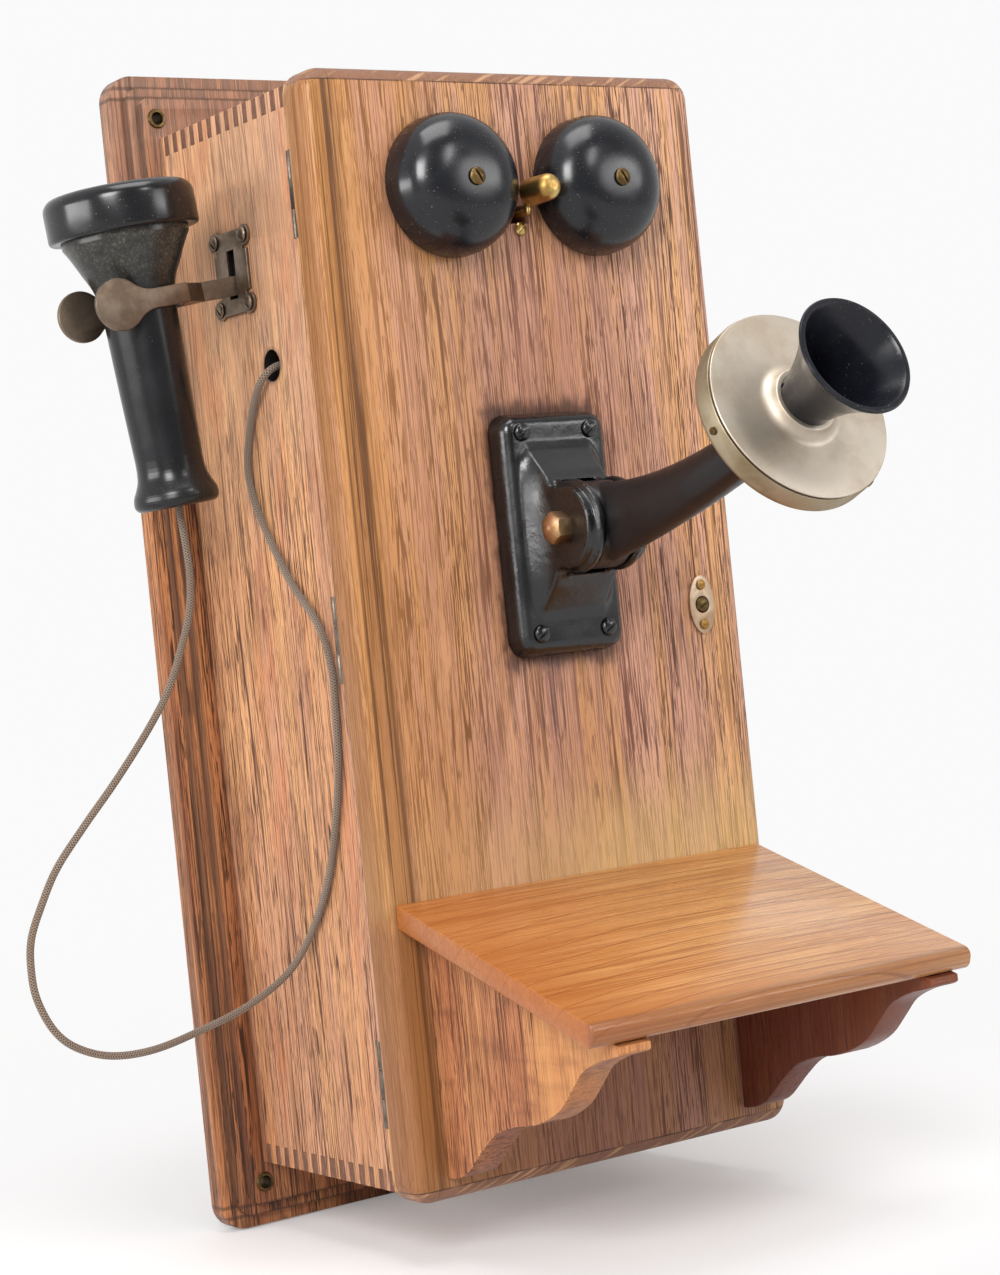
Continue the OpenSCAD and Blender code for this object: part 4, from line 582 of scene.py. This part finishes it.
BLACK = (11, 11, 14)
PINS_Y = box_mm("latch_plate")[0].y + 0.9
SPECS = {
    "oak_front": (wood, dict(tones=OAK_TONES, tint=door_tint)),
    "oak_side": (wood, dict(tones=SIDE_TONES, across="Y", tint=side_tint, streak=0.8)),
    "oak_ends": (wood, dict(tones=SIDE_TONES, along="X", across="Y", tint=end_board_tint, streak=0.8)),
    "oak_dark": (wood, dict(tones=BACK_TONES, tint=back_tint, streak=1.3, gloss=0.4)),
    "oak_shelf": (wood, dict(tones=SHELF_TONES, along="X", across="Y", tint=shelf_tint, streak=0.5, gloss=0.3,
                             coat=0.35, pores=0.4, end_share=0.5)),
    "oak_bracket": (wood, dict(tones=BRACKET_TONES, across="Y", streak=0.7, tint=bracket_tint)),
    "oak_piece": (wood, dict(tones=PIECE_TONES, across="Y", streak=0.4, pores=0.5, tint=bracket_tint)),
    "plain_wood": (wood, dict(tones=PLAIN_TONES, along="X", across="Y", gloss=0.55, coat=0.0)),
    "gong_enamel": (enamel, dict(tone=(12, 13, 18), rough=(0.18, 0.28), lump=0.012, lump_size=16, dust=0.5,
                                 specks=0.68, shine=0.5)),
    "japan_black": (enamel, dict(tone=(8, 8, 10), rough=(0.2, 0.34), lump=0.16, lump_size=5.0, dust=0.05,
                                 shine=0.65, orange=0.3)),
    "arm_black": (enamel, dict(tone=(15, 13, 15), rough=(0.3, 0.44), lump=0.05, lump_size=8, dust=0.15)),
    "receiver_black": (enamel, dict(tone=BLACK, rough=(0.22, 0.3), lump=0.01, lump_size=20,
                                    wear=receiver_dust)),
    "cap_black": (enamel, dict(tone=BLACK, rough=(0.18, 0.28), lump=0.01, lump_size=20, dust=0.5, specks=0.68,
                               shine=0.5)),
    "mouthpiece_black": (enamel, dict(tone=(17, 18, 24), rough=(0.2, 0.3), lump=0.01, lump_size=20, dust=0.4,
                                      specks=0.69, shine=0.32)),
    "nickel": (nickel, dict()),
    "nickel_band": (nickel, dict(worn=0.6, clean=(172, 158, 134), dull=(138, 120, 90))),
    "nickel_plate": (nickel, dict(worn=0.35, clean=(206, 184, 160), dull=(180, 152, 122), pins=PINS_Y)),
    "brass": (aged_metal, dict(clean=(206, 178, 116), tarnish=(168, 132, 74), dark=(84, 60, 32),
                               rough=(0.3, 0.45), grime=0.45)),
    "bronze": (aged_metal, dict(clean=(138, 122, 106), tarnish=(112, 96, 82), dark=(70, 58, 50),
                                rough=(0.42, 0.56), grime=0.3, size=2.0)),
    "bolt_brass": (aged_metal, dict(clean=(196, 158, 124), tarnish=(156, 126, 86), dark=(92, 70, 44),
                                    rough=(0.34, 0.46), grime=0.3)),
    "dark_brass": (aged_metal, dict(clean=(120, 98, 62), tarnish=(84, 66, 42), dark=(34, 28, 22),
                                    rough=(0.35, 0.5), grime=0.6)),
    "hinge_metal": (aged_metal, dict(clean=(128, 116, 104), tarnish=(98, 86, 76), dark=(50, 42, 36))),
    "steel": (aged_metal, dict(clean=(150, 148, 144), tarnish=(118, 110, 100), dark=(60, 50, 42),
                               rough=(0.35, 0.55))),
    "magnet_iron": (enamel, dict(tone=(30, 30, 30), rough=(0.3, 0.5), lump=0.06, dust=0.2)),
    "iron": (plain_iron, dict()),
    "winding": (winding, dict(axis="X")),
    "coil_winding": (winding, dict(axis="Z", tone=(74, 92, 58))),
    "contact_brass": (aged_metal, dict(clean=(214, 186, 122), tarnish=(182, 150, 90), dark=(104, 76, 42))),
    "condenser_tin": (aged_metal, dict(clean=(170, 168, 160), tarnish=(140, 134, 122), dark=(90, 80, 66),
                                       grime=0.3)),
    "ebonite": (enamel, dict(tone=(38, 32, 30), rough=(0.4, 0.6), lump=0.02, dust=0.3)),
    "knob_black": (enamel, dict(tone=(30, 25, 23), rough=(0.18, 0.3), lump=0.02, lump_size=12)),
    "braid": (cloth_braid, dict()),
}
MATERIALS = {name: make(name, **words) for name, (make, words) in SPECS.items()}

# Nodes whose look isn't simply that of their record's material slot
NODES_OF_LOOK = {
    "oak_ends": ("box_top", "box_bottom"),
    "oak_bracket": ("shelf_brackets",),
    "oak_piece": ("bracket_fronts",),
    "coil_winding": ("ringer_coils",),
    "japan_black": ("base_screws",),
    "cap_black": ("receiver_cap",),
    "dark_brass": ("gong_screws", "latch_screw", "face_screws", "eyelets"),
    "nickel_band": ("transmitter_cup",),
    "nickel_plate": ("latch_plate",),
    "hinge_metal": ("hinge_leaves_box", "hinge_leaves_door"),
    "bolt_brass": ("pivot_bolt",),
}
LOOK_OF = {node: name for name, nodes in NODES_OF_LOOK.items() for node in nodes}


def look(node):
    """The material of a CAD node, or of the mesh that stands for it."""
    return MATERIALS[LOOK_OF.get(node, SLOT_OF[node])]


# Pieces

SHARP_DEGREES = 32          # edges sharper than this stay sharp in the shading
SOFTENED_DEGREES = 34       # edges sharper than this are worn round
SAME_POINT = 2e-6           # in metres
FLAT_DEGREES = 0.6          # faces that meet flatter than this are joined


def finish_mesh(mesh, sharp=SHARP_DEGREES):
    """Smooth shading, but for edges sharper than the given angle."""
    mesh.polygons.foreach_set("use_smooth", [True] * len(mesh.polygons))
    mesh.set_sharp_from_angle(angle=math.radians(sharp))
    mesh.update()


def plain_mesh(name, bm):
    """The edited mesh as mesh data, not yet smoothed."""
    mesh = bpy.data.meshes.new(name)
    bm.to_mesh(mesh)
    bm.free()
    return mesh


def finished_piece(name, bm, sharp=SHARP_DEGREES):
    mesh = plain_mesh(name, bm)
    finish_mesh(mesh, sharp)
    return bpy.data.objects.new(name, mesh)


def stand_for(piece, node):
    """Makes a finished mesh the visible form of a CAD node."""
    piece.data.materials.clear()
    piece.data.materials.append(look(node))
    if piece.name not in bpy.context.scene.collection.objects:
        add_to_scene(piece)
    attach(piece, BODY_OF[node])
    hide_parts(node)


def copy_of(node):
    """The CAD node's surface as one closed mesh, flat areas joined again."""
    bm = bmesh.new()
    bm.from_mesh(frame["nodes"][node].data)
    bmesh.ops.remove_doubles(bm, verts=bm.verts, dist=SAME_POINT)
    bmesh.ops.dissolve_limit(bm, angle_limit=math.radians(FLAT_DEGREES), verts=bm.verts, edges=bm.edges)
    return bm


def softened(node, width_mm):
    """The CAD node with its hard edges worn round."""
    bm = copy_of(node)
    least = math.radians(SOFTENED_DEGREES)
    edges = [e for e in bm.edges if len(e.link_faces) == 2 and e.calc_face_angle(0) > least]
    bmesh.ops.bevel(bm, geom=edges, offset=width_mm * MM, offset_type="OFFSET", segments=2, profile=0.5,
                    affect="EDGES", clamp_overlap=True)
    stand_for(finished_piece(node + "_soft", bm), node)


def cast(node, grid_mm, rounds):
    """The CAD node as a casting: remeshed finely and smoothed, so every edge and inner corner is round."""
    name = node + "_cast"
    piece = bpy.data.objects.new(name, plain_mesh(name, copy_of(node)))
    add_to_scene(piece)
    remesh = piece.modifiers.new("remesh", "REMESH")
    remesh.mode = "VOXEL"
    remesh.voxel_size = grid_mm * MM
    smooth = piece.modifiers.new("smooth", "SMOOTH")
    smooth.factor = 0.5
    smooth.iterations = rounds
    shown = piece.evaluated_get(bpy.context.evaluated_depsgraph_get())
    made = bpy.data.meshes.new_from_object(shown)
    piece.modifiers.clear()
    piece.data = made
    finish_mesh(made, sharp=180)
    stand_for(piece, node)


def axis_frame(origin, along):
    """A frame in metres whose +Z points along the given direction, and whose +X leans upward."""
    z = Vector(along).normalized()
    up = Vector((0, 0, 1))
    x = (up - up.dot(z) * z).normalized()
    turn = Matrix((x, z.cross(x), z)).transposed().to_4x4()
    return Matrix.Translation(origin) @ turn


def round_about(sides):
    """The cosine and sine of each corner's angle in a regular polygon."""
    return [(math.cos(a), math.sin(a)) for a in (2 * math.pi * k / sides for k in range(sides))]


def lathe(name, profile, matrix, sides):
    """A turned piece: (radius, height) pairs in millimetres round the frame's +Z.

    A profile that starts on the axis ends on it too. Any other profile closes on its own start, as a ring.
    """
    bm = bmesh.new()
    rings = []
    for radius, height in profile:
        if radius == 0:
            rings.append([bm.verts.new(matrix @ Vector((0, 0, height * MM)))])
            continue
        r, h = radius * MM, height * MM
        rings.append([bm.verts.new(matrix @ Vector((r * c, r * s, h))) for c, s in round_about(sides)])
    closing = [] if len(rings[0]) == 1 else [rings[0]]
    for one, two in zip(rings, rings[1:] + closing):
        for k in range(sides):
            j = (k + 1) % sides
            corners = [one[k % len(one)], one[j % len(one)], two[j % len(two)], two[k % len(two)]]
            unique = list(dict.fromkeys(corners))
            if len(unique) > 2:
                bm.faces.new(unique)
    bmesh.ops.recalc_face_normals(bm, faces=bm.faces)
    return finished_piece(name, bm)


def joined(name, pieces):
    """Several new pieces as one."""
    bm = bmesh.new()
    for piece in pieces:
        bm.from_mesh(piece.data)
        bpy.data.objects.remove(piece)
    return finished_piece(name, bm)


def arc(center_r, center_h, radius, start, end, count):
    """Profile points round a centre, from one angle in degrees to another."""
    turns = (math.radians(start + (end - start) * k / count) for k in range(count + 1))
    return [(center_r + radius * math.cos(a), center_h + radius * math.sin(a)) for a in turns]


def through(points, count):
    """A Catmull-Rom curve through the points, count steps to each span."""
    p = [Vector(point) for point in points]
    made = []
    for i in range(len(p) - 1):
        a, b, c, d = p[max(i - 1, 0)], p[i], p[i + 1], p[min(i + 2, len(p) - 1)]
        for k in range(count):
            t = k / count
            made.append((2 * b + (c - a) * t + (2 * a - 5 * b + 4 * c - d) * t * t
                         + (3 * b - a - 3 * c + d) * t ** 3) / 2)
    return made + [p[-1]]


# Cord

CORD_D = 0.0033
CORD_SIDES = 16
CORD_STEPS = 8
CORD_ROUTE = [CORD_HOLE, (-0.098, -0.103, 0.124), (-0.1035, -0.103, 0.1215), (-0.106, -0.099, 0.117),
              (-0.105, -0.089, 0.108), (-0.104, -0.080, 0.094), (-0.104, -0.076, 0.080),
              (-0.104, -0.079, 0.066), (-0.104, -0.088, 0.050), (-0.104, -0.104, 0.028),
              (-0.104, -0.124, 0.008), (-0.104, -0.132, -0.011),
              (-0.104, -0.132, -0.031), (-0.104, -0.129, -0.057), (-0.104, -0.121, -0.083),
              (-0.104, -0.109, -0.108), (-0.105, -0.091, -0.131), (-0.112, -0.080, -0.147),
              (-0.134, -0.081, -0.158), (-0.160, -0.085, -0.164), (-0.185, -0.088, -0.168),
              (-0.206, -0.090, -0.167), (-0.222, -0.091, -0.161), (-0.232, -0.091, -0.152),
              (-0.238, -0.090, -0.138), (-0.239, -0.089, -0.125), (-0.237, -0.088, -0.112),
              (-0.230, -0.087, -0.098), (-0.221, -0.086, -0.084), (-0.206, -0.085, -0.068),
              (-0.188, -0.084, -0.050), (-0.170, -0.083, -0.030), (-0.158, -0.082, -0.014),
              (-0.149, -0.081, 0.004), (-0.143, -0.080, 0.019), (-0.1403, -0.079, 0.034),
              (-0.1402, -0.078, 0.048), (-0.1412, -0.0777, 0.060), (-0.1418, -0.0777, 0.0662)]


def tube(name, path, radius, sides):
    """A closed tube along a path, with U round it and V in diameters along it."""
    bm = bmesh.new()
    uv = bm.loops.layers.uv.new("UVMap")
    side = Vector((0, 1, 0))
    rings = []
    run = [0.0]
    for i, point in enumerate(path):
        ahead = (path[min(i + 1, len(path) - 1)] - path[max(i - 1, 0)]).normalized()
        side = (side - side.dot(ahead) * ahead).normalized()
        over = ahead.cross(side)
        rings.append([bm.verts.new(point + radius * (c * side + s * over)) for c, s in round_about(sides)])
        if i:
            run.append(run[-1] + (point - path[i - 1]).length / (2 * radius))
    for i in range(len(path) - 1):
        for k in range(sides):
            j = (k + 1) % sides
            face = bm.faces.new((rings[i][k], rings[i][j], rings[i + 1][j], rings[i + 1][k]))
            for loop, (u, v) in zip(face.loops, ((k, i), (k + 1, i), (k + 1, i + 1), (k, i + 1))):
                loop[uv].uv = (u / sides, run[v])
    bm.faces.new(rings[0])
    bm.faces.new(rings[-1])
    bmesh.ops.recalc_face_normals(bm, faces=bm.faces)
    return finished_piece(name, bm, sharp=60)


def make_cord():
    """The receiver's cord: a tube along a fixed route from the cabinet's cord hole, in place of the CAD cord.
    """
    path = through(CORD_ROUTE, CORD_STEPS)
    cord = tube("cord", path, CORD_D / 2, CORD_SIDES)
    cord.data.materials.append(MATERIALS["braid"])
    add_to_scene(cord)
    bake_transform(cord)
    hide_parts("receiver_cord")


make_cord()


# Every CAD node gets its material. Those that a finished mesh replaces below aren't shown.

for name, node_object in frame["nodes"].items():
    node_object.data.materials.clear()
    node_object.data.materials.append(look(name))

WORN_EDGES_MM = {
    "backboard": 1.4, "box_left": 0.35, "box_right": 0.35, "box_top": 0.35, "box_bottom": 0.35, "shelf": 0.9,
    "shelf_brackets": 0.9, "bracket_fronts": 0.9, "escutcheon": 0.35, "hook_lever": 0.5, "hook_fork": 0.6,
    "latch_plate": 0.35, "crank_arm": 0.8, "hinge_leaves_box": 0.3, "hinge_leaves_door": 0.3,
    "pivot_bolt": 0.7, "base_screws": 0.35, "side_screws": 0.3, "gong_screws": 0.3, "latch_screw": 0.3,
    "ringer_screw": 0.3, "door": 0.5, "mouthpiece": 0.4, "receiver_cap": 0.5, "clapper_head": 0.4,
}
for name, width in WORN_EDGES_MM.items():
    softened(name, width)

cast("transmitter_base", grid_mm=0.7, rounds=9)
cast("transmitter_arm", grid_mm=0.9, rounds=5)


# Gongs

DOME_POWER = 2.7            # 2 would be a half ellipse, and more is squarer
DOME_STEPS = 26
GONG_WALL = 1.8             # this and the next two in millimetres
GONG_BORE = 2.5
GONG_LIP = 0.25
GONG_SIDES = 128


def gong_profile(radius, height):
    """The section of one gong in millimetres: its lip, its dome up to the bore, and its hollow back down."""
    def dome(r, h):
        turns = (math.radians(90 * k / DOME_STEPS) for k in range(DOME_STEPS + 1))
        return [(r * math.cos(a) ** (2 / DOME_POWER), h * math.sin(a) ** (2 / DOME_POWER)) for a in turns]

    def up_to_bore(r, h):
        return [(a, b) for a, b in dome(r, h) if a > GONG_BORE + 1] + [(GONG_BORE, h)]

    lip = [(radius - GONG_WALL * 0.75, -GONG_LIP), (radius - GONG_WALL * 0.25, -GONG_LIP)]
    return lip + up_to_bore(radius, height) + up_to_bore(radius - GONG_WALL, height - GONG_WALL)[::-1]


def make_gongs():
    """Both gongs as domed bells, in the places and sizes of the CAD pair."""
    low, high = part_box("gongs")
    radius = (high[2] - low[2]) / 2 / MM
    height = (high[1] - low[1]) / MM
    z = (low[2] + high[2]) / 2
    reach = high[0] / MM - radius
    places = [axis_frame((side * reach * MM, high[1], z), (0, -1, 0)) for side in (-1, 1)]
    gongs = [lathe("gong", gong_profile(radius, height), place, GONG_SIDES) for place in places]
    stand_for(joined("gong_pair", gongs), "gongs")


make_gongs()


# Transmitter face: a disc with a dark gap behind its rim, and a hollow collar round the mouthpiece

FACE_TILT = 23.3            # degrees upward
FACE_CENTRE = (0, -0.3371, 0.0748)
FACE_R = 41.9               # this and the rest in millimetres
FACE_SIDES = 160
BEHIND = -3.4               # how far back the disc's hidden part goes
NECK_R = 12.05              # the collar's bore, round the mouthpiece
COLLAR_R, COLLAR_H = 14.2, 4.6
COLLAR_ROUND = 0.9
SWEEP = 5.5                 # the radius of the hollow from the disc up to the collar
CUP_DEPTH = 13
CUP_WALL = 1.6
CUP_CORNER = 3.5
CUP_LIP = 0.35
CUP_TOP = -1.5
CUP_FLOOR = 2               # thickness of the cup's bottom
CUP_CHAMFER = 2.4           # inside, between the bottom and the wall


def face_profile():
    """The section of the face plate, from the bore up over the collar and out to the rim."""
    rim = FACE_R - 0.4
    rim_round = 0.45
    profile = [(NECK_R, BEHIND), (NECK_R, COLLAR_H)]
    profile += arc(COLLAR_R - COLLAR_ROUND, COLLAR_H - COLLAR_ROUND, COLLAR_ROUND, 90, 0, 6)
    profile += arc(COLLAR_R + 0.95 * SWEEP, SWEEP, SWEEP, 200, 270, 12)
    profile += [(rim - 8, 0.0)] + arc(rim - rim_round, -rim_round, rim_round, 90, -50, 8)
    return profile + [(rim - 1.2, -0.85), (rim - 2.2, -1.0), (rim - 2.2, BEHIND)]


def cup_profile():
    """The section of the cup: its bottom, its round corner and rim, and its hollow back to the axis."""
    inner = FACE_R - CUP_WALL
    profile = [(0, -CUP_DEPTH)] + arc(FACE_R - CUP_CORNER, CUP_CORNER - CUP_DEPTH, CUP_CORNER, -90, 0, 10)
    profile += arc(FACE_R - CUP_LIP, CUP_TOP - CUP_LIP, CUP_LIP, 0, 90, 4)
    floor = CUP_FLOOR - CUP_DEPTH
    chamfer = [(inner, floor + CUP_CHAMFER), (inner - CUP_CHAMFER, floor)]
    return profile + [(inner, CUP_TOP)] + chamfer + [(0, floor)]


def make_face():
    """The face plate and the cup, turned round the transmitter's own tilted axis."""
    tilt = math.radians(FACE_TILT)
    place = axis_frame(FACE_CENTRE, (0, -math.cos(tilt), math.sin(tilt)))
    stand_for(lathe("face_plate_turned", face_profile(), place, FACE_SIDES), "face_plate")
    stand_for(lathe("cup_turned", cup_profile(), place, FACE_SIDES), "transmitter_cup")


make_face()


# Stage and light

FLOOR_TONE = srgb(250, 249, 249)
WORLD_TONE = srgb(250, 250, 250)
WORLD_LIGHT = 0.45
ROOM_GLOSS = 0.4            # how bright the room in front of the object is in its gloss
FLOOR_GAP = 0.0006          # this and the next in metres
FLOOR_REACH = 3.0


def make_stage():
    """A pale floor that takes the object's shadow near it and turns into the white background farther out."""
    floor_z = cad_box[0][2] - FLOOR_GAP
    bm = bmesh.new()
    for x, y in ((-1, -1), (1, -1), (1, 1), (-1, 1)):
        bm.verts.new((x * FLOOR_REACH, y * FLOOR_REACH, floor_z))
    bm.faces.new(bm.verts)
    mesh = plain_mesh("floor", bm)
    floor = bpy.data.objects.new("floor", mesh)
    s = Shader("floor", Roughness=0.6, Base_Color=FLOOR_TONE)
    seen = s.node("ShaderNodeLightPath").outputs
    shown = s.larger(s.larger(seen["Is Camera Ray"], seen["Is Glossy Ray"]), seen["Is Transmission Ray"])
    at = s.split(s.place())
    away = s.hypot(at[0], at[1])
    tone = s.mix(s.span(away, 500, 1300), FLOOR_TONE, WORLD_TONE)
    plain = s.node("ShaderNodeEmission", {"Color": tone, "Strength": 1.0}).outputs["Emission"]
    share = s.times(s.span(away, 160, 420, 0.22, 1.0), shown)
    both = s.node("ShaderNodeMixShader", {0: share, 1: s.bsdf.outputs["BSDF"], 2: plain}).outputs["Shader"]
    s.tree.links.new(both, s.tree.nodes["Material Output"].inputs["Surface"])
    mesh.materials.append(s.material)
    add_to_scene(floor)


# Name, place, the point it faces, width and height in metres, and power in watts
LIGHTS = [
    ("key", (-1.4, -1.5, 0.9), (0, -0.1, 0), (0.8, 0.7), 32),
    ("left", (-1.9, 0.0, 0.3), (0, -0.1, 0), (0.4, 1.3), 14),
    ("right", (1.05, -1.5, 0.5), (0, -0.1, 0), (0.35, 0.9), 6),
    ("window", (0.3, -1.7, 1.0), (0, -0.15, 0.1), (0.4, 0.25), 4),
    ("top", (-0.1, -0.5, 1.5), (0, -0.1, 0), (0.9, 0.9), 13),
]


def area_light(name, at, toward, size, power):
    """A rectangular light at one point, facing another."""
    data = bpy.data.lights.new(name, "AREA")
    data.shape = "RECTANGLE"
    data.size, data.size_y = size
    data.energy = power
    light = bpy.data.objects.new(name, data)
    light.matrix_world = axis_frame(at, Vector(at) - Vector(toward))
    add_to_scene(light)


def make_world():
    """A white surround. Gloss sees it white behind the object and greyer in front, as in a room."""
    world = bpy.data.worlds.new("studio")
    bpy.context.scene.world = world
    world.use_nodes = True
    tree = world.node_tree

    def value(kind, inputs, **settings):
        made = tree.nodes.new(kind)
        for name, setting in settings.items():
            setattr(made, name, setting)
        for socket, source in inputs.items():
            if isinstance(source, bpy.types.NodeSocket):
                tree.links.new(source, made.inputs[socket])
            else:
                made.inputs[socket].default_value = source
        return made.outputs

    def math_of(operation, a, b):
        return value("ShaderNodeMath", {0: a, 1: b}, operation=operation)[0]

    back = tree.nodes["Background"]
    back.inputs["Color"].default_value = WORLD_TONE
    ray = tree.nodes.new("ShaderNodeLightPath").outputs
    way = tree.nodes.new("ShaderNodeTexCoord").outputs["Generated"]
    toward = value("ShaderNodeSeparateXYZ", {"Vector": way})
    room = value("ShaderNodeMapRange", {"Value": toward["Y"], "From Min": -0.85, "From Max": 0.2,
                                        "To Min": ROOM_GLOSS, "To Max": 1.0},
                 interpolation_type="SMOOTHSTEP")["Result"]
    glossy = math_of("MULTIPLY", ray["Is Glossy Ray"], room)
    plain = math_of("MAXIMUM", ray["Is Camera Ray"], ray["Is Transmission Ray"])
    shown = math_of("MAXIMUM", glossy, plain)
    diffuse = math_of("MULTIPLY", ray["Is Diffuse Ray"], WORLD_LIGHT)
    tree.links.new(math_of("MAXIMUM", shown, diffuse), back.inputs["Strength"])


make_stage()
make_world()
for light in LIGHTS:
    area_light(*light)
bpy.context.scene.view_settings.view_transform = "Standard"
